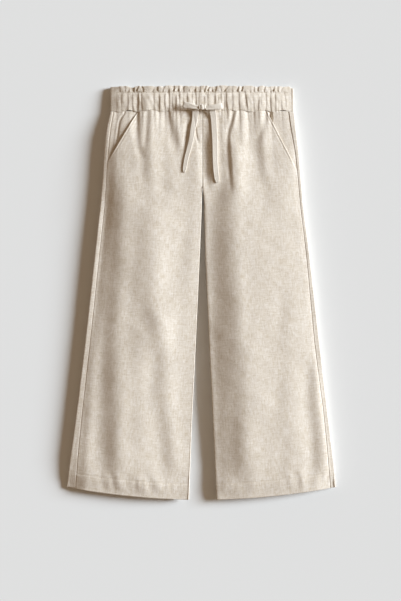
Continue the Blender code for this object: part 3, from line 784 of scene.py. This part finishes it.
def band_surface():
    """The waistband all the way round: front, right end, back and left end."""
    left = float(column("outer_left", WAIST_SEAM_Y))
    right = float(column("outer_right", WAIST_SEAM_Y))
    front_x = np.linspace(left + ROLL, right - ROLL, 380)
    turns = np.radians(BAND_END_TURNS)
    rise_of, inset_of = {}, {}
    for side, squareness in OUTER_SQUARENESS.items():
        over = np.where(turns > 0.0, rounded(np.cos(turns), squareness), np.sin(turns))
        rise_of[side] = (1.0 + over) / 2.0
        under = OUTER_UNDERCUT[side] * (1.0 - rise_of[side])
        inset_of[side] = ROLL * (1.0 - np.cos(turns)) + under
    end_x = right - inset_of["right"]
    start_x = left + inset_of["left"][::-1]
    back_x = np.linspace(end_x[-1], start_x[0], 121)
    x = np.concatenate([front_x, end_x, back_x, start_x])
    rows = spread_places((0.0, 1.0), (0.022, 0.022))
    top = frill_top(x, right)
    low = WAIST_SEAM_Y + SEAM_GAP / 2.0
    on_front = (np.arange(len(x)) < len(front_x)).astype(float)
    beat = np.arange(len(back_x)) / (len(back_x) - 1.0) * BACK_GATHERS * 2.0 * math.pi
    back_z = BACK_GATHER_RISE * 0.5 * (1.0 - np.cos(beat))
    points = []
    for row in rows:
        y = top + (low + seam_wave(x) * on_front - top) * row
        front_y, end_y = y[: len(front_x)], y[len(front_x) : len(front_x) + len(turns)]
        front_z = band_front_height(front_x, front_y)
        end_z = band_front_height(end_x, end_y) * rise_of["right"]
        start_z = band_front_height(start_x, y[-len(turns) :]) * rise_of["left"][::-1]
        z = np.concatenate([front_z, end_z, back_z, start_z])
        points.append(np.stack([x, y, z], axis=1))
    surface = np.array(points)
    return np.concatenate([surface, surface[:, :1]], axis=1)


def smooth_route(route, count):
    """Points along a smooth curve through the route, evenly spaced."""
    points = np.array(route, float)
    before, beyond = 2 * points[0] - points[1], 2 * points[-1] - points[-2]
    padded = np.concatenate([[before], points, [beyond]])
    fine = []
    for place in range(1, len(padded) - 2):
        before, start, end, after = padded[place - 1 : place + 3]
        part = np.linspace(0.0, 1.0, 40, endpoint=False)[:, None]
        fine.append(0.5 * (
            2.0 * start
            + (end - before) * part
            + (2.0 * before - 5.0 * start + 4.0 * end - after) * part**2
            + (3.0 * start - before - 3.0 * end + after) * part**3
        ))
    fine = np.concatenate(fine + [points[-1:]])
    walked = walked_along(fine)
    places = np.linspace(0.0, walked[-1], count)
    return np.stack([np.interp(places, walked, values) for values in fine.T], axis=1)


def cloth_under_tape(x, y):
    """Height of what the tape lies on: the fronts and, above the seam, the waistband."""
    left = front_height("left", x, y)
    right = front_height("right", x, y)
    cloth = np.where(x < column("inner_left", y), left, right)
    on_band = ease((y - WAIST_SEAM_Y + 2.0) / 4.0)
    return cloth + (band_front_height(x, np.maximum(y, WAIST_SEAM_Y)) - cloth) * on_band


def tail_surface(side):
    """The tape's free end as rows of points across it, and the line down its middle."""
    centres = smooth_route(TAIL_ROUTES[side], 84)
    ways = np.gradient(centres, axis=0)
    ways /= np.linalg.norm(ways, axis=1)[:, None]
    across = np.stack([-ways[:, 1], ways[:, 0]], axis=1)
    share = np.linspace(0.0, 1.0, len(centres))
    widths = np.interp(share, (0.0, TAIL_FLARE_END, 1.0), TAIL_WIDTHS[side])
    tip = ease((share - TAIL_TIP_START) / (1.0 - TAIL_TIP_START))
    widths = widths * (1.0 - TAIL_TIP_NARROWING * tip)
    places = np.linspace(-1.0, 1.0, 11)
    x = centres[:, :1] + across[:, :1] * widths[:, None] / 2.0 * places
    y = centres[:, 1:] + across[:, 1:] * widths[:, None] / 2.0 * places
    local = cloth_under_tape(x, y)
    ridge = smoothed(local.max(axis=1), 6)
    lain = (1.0 - TAIL_DRAPE) * ridge[:, None] + TAIL_DRAPE * local
    z = np.maximum(lain, local) + TAPE_CLEARANCE + TAPE_THICK
    climb = ease((centres[:, 1] - TAIL_CLIMB_Y) / (WAIST_SEAM_Y - TAIL_CLIMB_Y))[:, None]
    z = z + (np.maximum(BOW_FLOOR + TAPE_THICK, z) - z) * climb
    rolled = 0.12 * hump(places + 0.84, 0.14) + 0.24 * hump(places - 1.0, 0.16)
    surface = np.stack([x, y, z + rolled], axis=2)
    line = np.column_stack([centres, z[:, 5] - TAPE_THICK / 2.0])
    return surface, line


def loop_surface(side, width):
    """One loop of the bow: out along the tape, round its fold and back over itself."""
    out_of_knot = SIDE[side] * (KNOT_SIZE[0] / 2.0 - 0.6)
    start = np.array([KNOT_CENTRE[0] + out_of_knot, KNOT_CENTRE[1] - 1.4])
    run = np.array(LOOP_REACH[side]) - start
    length = np.linalg.norm(run)
    smooth = smooth_route(np.array(LOOP_STEPS) * (length, 1.0, 4.0), LOOP_ROWS)
    along = smooth[:, :1] / length
    centres = start + run * along
    heights = BOW_FLOOR + LOOP_LIFT + smooth[:, 1:2]
    widths = width * smooth[:, 2:] / 4.0
    places = np.linspace(-1.0, 1.0, 11)
    way = run / length
    arch = LOOP_ARCH[side] * (along * along - along)
    x = centres[:, :1] - way[1] * widths / 2.0 * places
    y = centres[:, 1:] + way[0] * widths / 2.0 * places + arch
    bulge = 0.6 * (1.0 - places**2) * ease(along * 2.0)
    bulge = bulge + 0.05 * np.sin(13.0 * along + 4.0 * places + SIDE[side])
    rolled = 0.08 * hump(np.abs(places) - 0.86, 0.14)
    over = np.where(np.arange(LOOP_ROWS) > LOOP_ROWS // 2, 1.0, -0.3)[:, None]
    z = heights + over * (bulge + rolled)
    pleat = 0.6 * hump(places + 0.15 - 0.5 * along, 0.28) * (1.0 - ease(along / 0.9))
    twist = LOOP_TWIST[side] * widths / 2.0 * places * np.sin(math.pi * along)
    return np.stack([x, y, z + twist - np.maximum(over, 0.0) * pleat], axis=2)


class Value:
    """A number that changes over the surface: sums and products add Math nodes."""

    def __init__(self, finish, socket):
        self.finish = finish
        self.socket = socket

    def math(self, operation, *others):
        inputs = {0: self}
        for place, other in enumerate(others):
            inputs[place + 1] = other
        node = self.finish.node("ShaderNodeMath", {"operation": operation}, inputs)
        return Value(self.finish, node.outputs[0])

    def __add__(self, other):
        return self.math("ADD", other)

    __radd__ = __add__

    def __sub__(self, other):
        return self.math("SUBTRACT", other)

    def __rsub__(self, other):
        return (self * -1.0) + other

    def __mul__(self, other):
        return self.math("MULTIPLY", other)

    __rmul__ = __mul__

    def __abs__(self):
        return self.math("ABSOLUTE")

    def sine(self):
        return self.math("SINE")

    def clamp(self):
        return self.math("MINIMUM", 1.0).math("MAXIMUM", 0.0)


class Finish:
    """A cloth or floor finish and the nodes that give it."""

    def __init__(self, name):
        self.material = bpy.data.materials.new(name)
        self.material.use_nodes = True
        self.tree = self.material.node_tree
        self.shader = self.tree.nodes["Principled BSDF"]

    def node(self, kind, settings=None, inputs=None):
        node = self.tree.nodes.new(kind)
        for name, value in (settings or {}).items():
            setattr(node, name, value)
        for key, value in (inputs or {}).items():
            self.feed(node.inputs[key], value)
        return node

    def feed(self, socket, value):
        if isinstance(value, Value):
            self.tree.links.new(value.socket, socket)
        elif isinstance(value, bpy.types.NodeSocket):
            self.tree.links.new(value, socket)
        else:
            socket.default_value = value

    def shade(self, inputs):
        for name, value in inputs.items():
            self.feed(self.shader.inputs[name], value)

    def relief(self, height, strength, distance):
        """Small bumps that only the light sees."""
        inputs = {"Strength": strength, "Distance": distance, "Height": height}
        return self.node("ShaderNodeBump", {}, inputs).outputs[0]

    def noise(self, place, scale, detail=2.0, roughness=0.5):
        """Noise stretched by the scale on each axis, about 0.5."""
        spread = self.node("ShaderNodeMapping", {}, {"Vector": place, "Scale": scale})
        inputs = {"Scale": 1.0, "Detail": detail, "Roughness": roughness}
        inputs["Vector"] = spread.outputs[0]
        made = self.node("ShaderNodeTexNoise", {"noise_dimensions": "3D"}, inputs)
        return Value(self, made.outputs["Fac"])

    def mix(self, share, one, other):
        settings = {"data_type": "RGBA", "blend_type": "MIX"}
        node = self.node("ShaderNodeMix", settings, {0: share, 6: one, 7: other})
        return node.outputs[2]


# How close the yarns' unevenness lies across and along the cloth, to the metre
WOBBLE_SCALE = (260.0, 260.0, 1.0)
WARP_SCALE = (480.0, 95.0, 1.0)
WEFT_SCALE = (105.0, 460.0, 1.0)
FLECK_SCALE = (760.0, 820.0, 1.0)
CLOUD_SCALE = (34.0, 28.0, 1.0)
THREAD_SCALE = (900.0, 900.0, 900.0)


def woven_finish(name, light, deep, pitch, slub, sheen):
    """Plain-woven linen. pitch: distance between yarns in metres. slub: how uneven
    the yarns are."""
    finish = Finish(name)
    place = finish.node("ShaderNodeUVMap", {"uv_map": "Cloth"}).outputs["UV"]
    parts = finish.node("ShaderNodeSeparateXYZ", {}, {0: place})
    across = Value(finish, parts.outputs[0])
    along = Value(finish, parts.outputs[1])
    wobble = finish.noise(place, WOBBLE_SCALE, 1.0) - 0.5
    turn = math.pi / pitch
    warp_wave = (across * turn + wobble * 1.6).sine()
    weft_wave = (along * turn + wobble * 1.6).sine()
    over = (warp_wave * weft_wave * 2.0 + 0.5).clamp()
    weave = abs(warp_wave) * over + abs(weft_wave) * (1.0 - over)
    warp_slub = finish.noise(place, WARP_SCALE, 3.0, 0.65)
    weft_slub = finish.noise(place, WEFT_SCALE, 3.0, 0.65)
    fleck = finish.noise(place, FLECK_SCALE, 3.0, 0.7)
    cloud = finish.noise(place, CLOUD_SCALE, 3.0)
    tone = (warp_slub - 0.5) * (2.2 * slub) + (weft_slub - 0.5) * (1.7 * slub)
    tone = tone + (fleck - 0.5) * (1.6 * slub) + (cloud - 0.5) * 0.3 + 0.5
    # Painted shade and highlight: the colour is a little darker where the weave lies low between
    # the yarns and lighter on the yarns' crowns
    tone = tone + (weave - 0.6) * 0.12
    yarns = weave * 0.5 + warp_slub * (1.4 * slub) + weft_slub * (1.2 * slub) + fleck * 0.4
    finish.shade({
        "Base Color": finish.mix(tone.clamp(), deep, light),
        "Roughness": 0.86 + (fleck - 0.5) * 0.12,
        "Normal": finish.relief(yarns, 0.5, 0.0003),
        "Specular IOR Level": 0.2,
        "Sheen Weight": sheen,
        "Sheen Roughness": 0.5,
    })
    return finish.material


def thread_finish(name, light, deep):
    """Twisted sewing thread."""
    finish = Finish(name)
    coords = finish.node("ShaderNodeTexCoord").outputs["Object"]
    grain = finish.noise(coords, THREAD_SCALE)
    finish.shade({
        "Base Color": finish.mix(grain, deep, light),
        "Roughness": 0.7 + (grain - 0.5) * 0.2,
        "Normal": finish.relief(grain, 0.4, 0.0002),
    })
    return finish.material


def number_property(name, description, default, least, most, **kind):
    return bpy.props.FloatProperty(
        name=name, description=description, default=default, min=least, max=most, **kind
    )


def length_property(name, description, default, least, most):
    return number_property(
        name, description, default, least, most, unit="LENGTH", precision=5
    )


def angle_property(name, description, degrees, least, most):
    return number_property(
        name, description, math.radians(degrees), least, most, subtype="ANGLE"
    )


class TrousersSizes(bpy.types.PropertyGroup):
    cloth: length_property("Cloth", "Thickness of the linen", 0.001, 0.0003, 0.0018)
    double_cloth: length_property(
        "Double cloth",
        "Thickness where the linen is turned up or lies double",
        0.002, 0.0006, 0.003,
    )
    tape: length_property("Tape width", "Width of the drawstring's tape", 0.0066, 0.004, 0.012)
    stitch: length_property("Stitch", "Length of one stitch", 0.0024, 0.001, 0.004)
    stitch_gap: length_property(
        "Stitch gap", "Cloth left between one stitch and the next", 0.0009, 0.0002, 0.002
    )
    thread: length_property("Thread", "Thickness of the sewing thread", 0.00035, 0.0002, 0.001)
    yarn: length_property(
        "Yarn pitch", "Distance from one yarn of the linen to the next", 0.0008, 0.0004, 0.002
    )
    slub: number_property(
        "Slub", "How uneven the linen's yarns are", 0.7, 0.0, 1.5, subtype="FACTOR"
    )


def colour_property(name, description, default):
    return bpy.props.FloatVectorProperty(
        name=name, description=description, default=default,
        min=0.0, max=1.0, size=4, subtype="COLOR",
    )


class TrousersColours(bpy.types.PropertyGroup):
    linen_light: colour_property(
        "Linen, light", "Lighter fibres of the linen", (0.84, 0.772, 0.705, 1.0)
    )
    linen_deep: colour_property(
        "Linen, deep", "Darker fibres of the linen", (0.59, 0.495, 0.375, 1.0)
    )
    tape_light: colour_property(
        "Tape, light", "Lighter fibres of the drawstring", (0.825, 0.76, 0.68, 1.0)
    )
    tape_deep: colour_property(
        "Tape, deep", "Darker fibres of the drawstring", (0.60, 0.52, 0.43, 1.0)
    )
    thread: colour_property("Thread", "Sewing thread", (0.70, 0.61, 0.50, 1.0))
    floor: colour_property("Floor", "The plain floor", (0.80, 0.80, 0.80, 1.0))


class StudioSettings(bpy.types.PropertyGroup):
    key: number_property(
        "Key light", "Strength of the large soft light at the right", 6.8, 0.0, 20.0
    )
    key_elevation: angle_property(
        "Key height", "How high the soft light stands above the floor", 20.0, 0.0, math.pi / 2.0
    )
    key_turn: angle_property(
        "Key turn", "How far the soft light stands towards the waist", 13.0, -math.pi, math.pi
    )
    key_size: angle_property("Key size", "Angle that the soft light fills", 23.0, 0.0, math.pi)
    fill: number_property("Fill", "Strength of the light from all round", 0.26, 0.0, 5.0)
    camera_distance: length_property(
        "Camera distance", "Distance from the lens to the cloth", 2.6, 1.0, 6.0
    )


LINEN = "Washed linen"
TAPE = "Drawstring tape"
THREAD = "Sewing thread"


def finish_named(context, name):
    """The finish of this name, made on first use."""
    found = bpy.data.materials.get(name)
    if found is not None:
        return found
    sizes = context.scene.trousers_sizes
    colours = context.scene.trousers_colours
    if name == TAPE:
        light, deep = colours.tape_light, colours.tape_deep
        return woven_finish(name, light, deep, sizes.yarn * 0.7, sizes.slub * 0.5, 0.25)
    if name == THREAD:
        return thread_finish(name, colours.thread, colours.linen_deep)
    light, deep = colours.linen_light, colours.linen_deep
    return woven_finish(name, light, deep, sizes.yarn, sizes.slub, 0.3)


def add_object(name, data):
    made = bpy.data.objects.new(name, data)
    bpy.context.scene.collection.objects.link(made)
    return made


def mesh_from(bm, name, material):
    """The mesh that bm holds, with its material. bm is freed."""
    mesh = bpy.data.meshes.new(name)
    bm.to_mesh(mesh)
    bm.free()
    mesh.materials.append(material)
    return mesh


def cloth_places(surface):
    """Where each point lies on the flat cloth: across and along, in metres."""
    steps = np.linalg.norm(np.diff(surface[:, :, (0, 2)], axis=1), axis=2)
    walked = np.concatenate([np.zeros((len(surface), 1)), np.cumsum(steps, axis=1)], axis=1)
    down = np.linalg.norm(np.diff(surface[:, :, 1:], axis=0), axis=2).mean(axis=1)
    fallen = np.concatenate([[0.0], np.cumsum(down)])[:, None]
    middle = walked[:, walked.shape[1] // 2][:, None]
    return np.stack([walked - middle, 0.0 * walked - fallen], axis=2) * MM


UP = (0.0, 0.0, 1.0)
DOWN = (0.0, 0.0, -1.0)


def lay_sheet(name, surface, material, wall, hem_row=None, outward=UP, weld=False):
    """A sheet of cloth through rows of points, its wall thickened inwards. The
    outward way is the way its middle faces. From hem_row down the cloth has the
    whole wall, and above it the wall of single cloth."""
    rows, places, _ = surface.shape
    bm = bmesh.new()
    bmesh.ops.create_grid(bm, x_segments=places - 1, y_segments=rows - 1, size=1.0)
    mesh = mesh_from(bm, name, material)
    grid = np.empty(len(mesh.vertices) * 3, np.float32)
    mesh.vertices.foreach_get("co", grid)
    grid = grid.reshape(-1, 3)
    place = np.rint((grid[:, 0] + 1.0) / 2.0 * (places - 1)).astype(int)
    row = np.rint((1.0 - grid[:, 1]) / 2.0 * (rows - 1)).astype(int)
    mesh.vertices.foreach_set("co", (surface[row, place] * MM).astype(np.float32).ravel())
    corner = np.empty(len(mesh.loops), np.int32)
    mesh.loops.foreach_get("vertex_index", corner)
    flat = cloth_places(surface)[row, place][corner]
    mesh.uv_layers.new(name="Cloth").data.foreach_set("uv", flat.astype(np.float32).ravel())
    mesh.update()
    middle = mesh.polygons[(rows // 2) * (places - 1) + (places - 1) // 4]
    if middle.normal.dot(Vector(outward)) < 0.0:
        mesh.flip_normals()
    mesh.shade_smooth()
    piece = add_object(name, mesh)
    if weld:
        bm = bmesh.new()
        bm.from_mesh(mesh)
        bmesh.ops.remove_doubles(bm, verts=bm.verts, dist=0.00001)
        bm.to_mesh(mesh)
        bm.free()
    solidify = piece.modifiers.new("Wall", "SOLIDIFY")
    solidify.thickness = wall
    solidify.offset = -1.0
    if hem_row is not None:
        sizes = bpy.context.scene.trousers_sizes
        group = piece.vertex_groups.new(name="Turned up hem")
        on_hem = (row >= hem_row) & (place > len(EDGE_ROWS)) & (place < places - 12)
        single = np.flatnonzero(~on_hem).tolist()
        double = np.flatnonzero(on_hem).tolist()
        group.add(single, sizes.cloth / wall, "REPLACE")
        group.add(double, 1.0, "REPLACE")
        solidify.vertex_group = group.name
    return piece


def hem_row_of(surface):
    """The first row that lies on the turned-up hem."""
    middle = surface[:, 8, 1]
    return int(np.argmax(middle < HEM_LOW_Y + HEM_DEPTH + 1.0))


def settle_piece(piece, slot, *nodes):
    """The piece rides on the root, and stands for these solids."""
    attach(piece, "root")
    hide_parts(*nodes)


# Flat cut of each piece as far as it shows: width, length and area in metres
Cut = namedtuple("Cut", "width length area")


class StageOperator(bpy.types.Operator):
    """Sets up the floor, the soft studio light and the camera straight above."""

    bl_idname = "trousers.set_stage"
    bl_label = "Set the stage"

    def execute(self, context):
        scene = context.scene
        studio = scene.trousers_studio
        low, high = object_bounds()
        bm = bmesh.new()
        bmesh.ops.create_grid(bm, x_segments=4, y_segments=4, size=FLOOR_HALF)
        for vert in bm.verts:
            vert.co.z = low.z - FLOOR_DROP
        plain = Finish("Plain floor")
        colour = scene.trousers_colours.floor
        plain.shade({"Base Color": colour, "Roughness": 1.0, "Specular IOR Level": 0.0})
        floor = add_object("floor", mesh_from(bm, "floor", plain.material))
        floor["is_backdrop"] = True

        light = bpy.data.lights.new("soft key", "SUN")
        light.energy = studio.key
        light.angle = studio.key_size
        light.color = KEY_COLOUR
        key = add_object("soft key", light)
        rise, turn = studio.key_elevation, studio.key_turn
        level = math.cos(rise)
        way = Vector((level * math.cos(turn), level * math.sin(turn), math.sin(rise)))
        key.rotation_mode = "QUATERNION"
        key.rotation_quaternion = way.to_track_quat("Z", "Y")

        world = bpy.data.worlds.new("soft fill")
        world.use_nodes = True
        background = world.node_tree.nodes["Background"]
        background.inputs["Color"].default_value = FILL_COLOUR
        background.inputs["Strength"].default_value = studio.fill
        scene.world = world
        scene.view_settings.view_transform = "Standard"

        middle = (low + high) / 2.0
        aim = Vector((middle.x + VIEW_SHIFT[0], middle.y + VIEW_SHIFT[1], high.z * 0.6))
        data = bpy.data.cameras.new("camera")
        data.sensor_width = SENSOR
        data.lens = SENSOR * studio.camera_distance / VIEW_HEIGHT
        data.clip_start = 0.1
        data.clip_end = 20.0
        camera = add_object("camera", data)
        camera.location = aim + Vector((0.0, 0.0, studio.camera_distance))
        scene.camera = camera
        return {"FINISHED"}


class TailsOperator(bpy.types.Operator):
    """Lays the drawstring's two free ends down the fronts."""

    bl_idname = "trousers.lay_tails"
    bl_label = "Lay the drawstring's ends"

    def execute(self, context):
        for side in SIDE:
            surface, line = tail_surface(side)
            name = "drawstring_end_" + side
            tape = finish_named(context, TAPE)
            piece = lay_sheet(name, surface, tape, TAPE_THICK * MM)
            settle_piece(piece, "drawstring_linen", "drawstring_tail_" + side)
        return {"FINISHED"}


class BowOperator(bpy.types.Operator):
    """Ties the drawstring's bow: two loops and the knot between them."""

    bl_idname = "trousers.tie_bow"
    bl_label = "Tie the bow"

    def execute(self, context):
        tape = finish_named(context, TAPE)
        width = context.scene.trousers_sizes.tape / MM
        for side in SIDE:
            surface = loop_surface(side, width)
            piece = lay_sheet("bow_loop_" + side, surface, tape, LOOP_WALL, outward=DOWN)
            settle_piece(piece, "drawstring_linen", "drawstring_loop_" + side)
        self.tie_knot(tape)
        return {"FINISHED"}

    def tie_knot(self, tape):
        """A rounded block of tape with two creases where the wraps lie."""
        bm = bmesh.new()
        bmesh.ops.create_cube(bm, size=2.0)
        bmesh.ops.subdivide_edges(bm, edges=bm.edges[:], cuts=14, use_grid_fill=True)
        centre = Vector((KNOT_CENTRE[0], KNOT_CENTRE[1], BOW_FLOOR + KNOT_SIZE[2] / 2.0))
        layer = bm.loops.layers.uv.new("Cloth")
        for vert in bm.verts:
            way = vert.co.normalized()
            power = sum(abs(part) ** KNOT_SQUARENESS for part in way)
            shape = way * power ** (-1.0 / KNOT_SQUARENESS)
            across = shape.x + KNOT_LEAN * shape.y
            wrap = math.exp(-((abs(across) - KNOT_WRAP_X) / KNOT_WRAP_WIDTH) ** 2)
            ridge = 0.07 * math.cos(7.0 * across)
            size = 1.0 - 0.16 * wrap - 0.05 + ridge * 0.6
            slant = 0.08 * shape.y
            vert.co = centre + Vector((
                (shape.x + slant) * KNOT_SIZE[0] / 2.0 * 0.94,
                shape.y * size * KNOT_SIZE[1] / 2.0,
                shape.z * size * KNOT_SIZE[2] / 2.0,
            ))
        for face in bm.faces:
            for loop in face.loops:
                loop[layer].uv = (loop.vert.co.x * MM, (loop.vert.co.y + loop.vert.co.z) * MM)
        bmesh.ops.scale(bm, vec=(MM, MM, MM), verts=bm.verts)
        mesh = mesh_from(bm, "bow_knot", tape)
        mesh.shade_smooth()
        knot = add_object("bow_knot", mesh)
        settle_piece(knot, "drawstring_linen", "drawstring_knot")


def lay_leg(context, part, surface, outward):
    """A front or a back of one leg, with its hem turned up."""
    linen = finish_named(context, LINEN)
    wall = context.scene.trousers_sizes.double_cloth
    hem_row = hem_row_of(surface)
    piece = lay_sheet("linen_" + part, surface, linen, wall, hem_row, outward)
    settle_piece(piece, "linen", part)


class FrontsOperator(bpy.types.Operator):
    """Lays the two fronts with their folds, gathers and turned-up hems."""

    bl_idname = "trousers.lay_fronts"
    bl_label = "Lay the fronts"

    def execute(self, context):
        for side in SIDE:
            lay_leg(context, "front_" + side, front_surface(side), UP)
        return {"FINISHED"}


class BacksOperator(bpy.types.Operator):
    """Lays the two backs, which wrap up round the sides to the side seams."""

    bl_idname = "trousers.lay_backs"
    bl_label = "Lay the backs"

    def execute(self, context):
        for side in SIDE:
            lay_leg(context, "back_" + side, back_surface(side), DOWN)
        return {"FINISHED"}


class FacingsOperator(bpy.types.Operator):
    """Sets the pocket facings under the slanted pocket edges."""

    bl_idname = "trousers.set_facings"
    bl_label = "Set the pocket facings"

    def execute(self, context):
        for side in SIDE:
            surface = facing_surface(side)
            linen = finish_named(context, LINEN)
            cloth = context.scene.trousers_sizes.cloth
            piece = lay_sheet("linen_facing_" + side, surface, linen, cloth)
            settle_piece(piece, "facing_linen", "pocket_facing_" + side)
        return {"FINISHED"}


class WaistbandOperator(bpy.types.Operator):
    """Gathers the elastic waistband with its heading frill."""

    bl_idname = "trousers.gather_waistband"
    bl_label = "Gather the waistband"

    def execute(self, context):
        linen = finish_named(context, LINEN)
        double = context.scene.trousers_sizes.double_cloth
        piece = lay_sheet("gathered_waistband", band_surface(), linen, double, weld=True)
        settle_piece(piece, "waistband_linen", "waistband")
        return {"FINISHED"}


def sew_row(bm, points, sizes):
    """Stitches laid end to end along these points, in metres."""
    walked = walked_along(points)
    pitch = sizes.stitch + sizes.stitch_gap
    for start in np.arange(0.0, walked[-1] - sizes.stitch, pitch):
        ends = [
            Vector([float(np.interp(place, walked, points[:, axis])) for axis in range(3)])
            for place in (start, start + sizes.stitch)
        ]
        way = ends[1] - ends[0]
        turn = way.to_track_quat("X", "Z").to_matrix().to_4x4()
        size = Matrix.Diagonal((sizes.stitch / 2.0, sizes.thread / 2.0, sizes.thread * 0.4, 1.0))
        place = Matrix.Translation((ends[0] + ends[1]) / 2.0) @ turn @ size
        bmesh.ops.create_icosphere(bm, subdivisions=1, radius=1.0, matrix=place)


def row_on_front(side, xs, levels):
    """Points on the front's upper face, in metres, from x and level in millimetres."""
    xs = np.asarray(xs, float)
    levels = np.asarray(levels, float)
    z = front_height(side, xs, levels) + STITCH_LIFT
    return np.column_stack([xs, true_y(levels, xs), z]) * MM


def finish_stitches(context, name, rows):
    """Makes one piece of these rows of stitches."""
    bm = bmesh.new()
    for points in rows:
        sew_row(bm, points, context.scene.trousers_sizes)
    mesh = mesh_from(bm, name, finish_named(context, THREAD))
    mesh.shade_smooth()
    piece = add_object(name, mesh)
    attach(piece, "root")


def row_on_band(xs, y, lift):
    """Points on the waistband's front, in metres, this far above its cloth."""
    return np.column_stack([xs, 0.0 * xs + y, band_front_height(xs, y) + lift]) * MM


class StitchesOperator(bpy.types.Operator):
    """Sews the hems, the pocket edges, the mock fly and the rows of the waistband."""

    bl_idname = "trousers.sew_rows"
    bl_label = "Sew the stitching"

    def execute(self, context):
        hems, pockets = [], []
        level = HEM_LOW_Y + HEM_DEPTH
        for side in SIDE:
            inner = float(column("inner_" + side, level)) + SIDE[side] * ROLL
            outer = float(edge_of_front(side, np.array(level))) - SIDE[side] * 1.0
            xs = np.linspace(inner, outer, 220)
            hems.append(row_on_front(side, xs, np.full_like(xs, level)))
            pocket = POCKETS[side]
            levels = np.linspace(WAIST_SEAM_Y - 1.0, pocket.end_y + 3.0, 120)
            xs = pocket_x(side, levels) - SIDE[side] * POCKET_STITCH_INSET
            pockets.append(row_on_front(side, xs, levels))
        levels = np.linspace(WAIST_SEAM_Y - 1.0, FLY_LOW_Y + 4.0, 120)
        fly = [row_on_front("left", path_x(FLY_PATH, levels), levels)]
        finish_stitches(context, "hem_stitches", hems)
        finish_stitches(context, "pocket_stitches", pockets)
        finish_stitches(context, "fly_stitches", fly)
        left = float(column("outer_left", WAIST_SEAM_Y)) + ROLL
        right = float(column("outer_right", WAIST_SEAM_Y)) - ROLL
        xs = np.linspace(left, right, 700)
        frill = row_on_band(xs, FRILL_STITCH_Y, STITCH_LIFT)
        seam = row_on_band(xs, WAIST_SEAM_Y + SEAM_STITCH_RISE, SEAM_STITCH_LIFT)
        finish_stitches(context, "waistband_stitches", [frill, seam])
        return {"FINISHED"}


STEPS = (
    StageOperator,
    TailsOperator,
    BowOperator,
    FrontsOperator,
    BacksOperator,
    FacingsOperator,
    WaistbandOperator,
    StitchesOperator,
)


class TrousersPanel(bpy.types.Panel):
    """Sizes, colours and steps of the trousers."""

    bl_idname = "VIEW3D_PT_trousers"
    bl_label = "Drawstring trousers"
    bl_space_type = "VIEW_3D"
    bl_region_type = "UI"
    bl_category = "Trousers"

    def draw(self, context):
        scene = context.scene
        for group in (scene.trousers_sizes, scene.trousers_colours, scene.trousers_studio):
            box = self.layout.box()
            for name in group.__annotations__:
                box.prop(group, name)
        for step in STEPS:
            self.layout.operator(step.bl_idname)


GROUPS = {
    "trousers_sizes": TrousersSizes,
    "trousers_colours": TrousersColours,
    "trousers_studio": StudioSettings,
}


def register():
    for group in GROUPS.values():
        bpy.utils.register_class(group)
    for step in STEPS:
        bpy.utils.register_class(step)
    bpy.utils.register_class(TrousersPanel)
    for name, group in GROUPS.items():
        setattr(bpy.types.Scene, name, bpy.props.PointerProperty(type=group))


def unregister():
    for name in GROUPS:
        delattr(bpy.types.Scene, name)
    bpy.utils.unregister_class(TrousersPanel)
    for step in reversed(STEPS):
        bpy.utils.unregister_class(step)
    for group in GROUPS.values():
        bpy.utils.unregister_class(group)


def main():
    register()
    bpy.ops.trousers.set_stage()
    bpy.ops.trousers.lay_tails()
    bpy.ops.trousers.tie_bow()
    bpy.ops.trousers.lay_fronts()
    bpy.ops.trousers.lay_backs()
    bpy.ops.trousers.set_facings()
    bpy.ops.trousers.gather_waistband()
    bpy.ops.trousers.sew_rows()


if __name__ == "__main__":
    main()
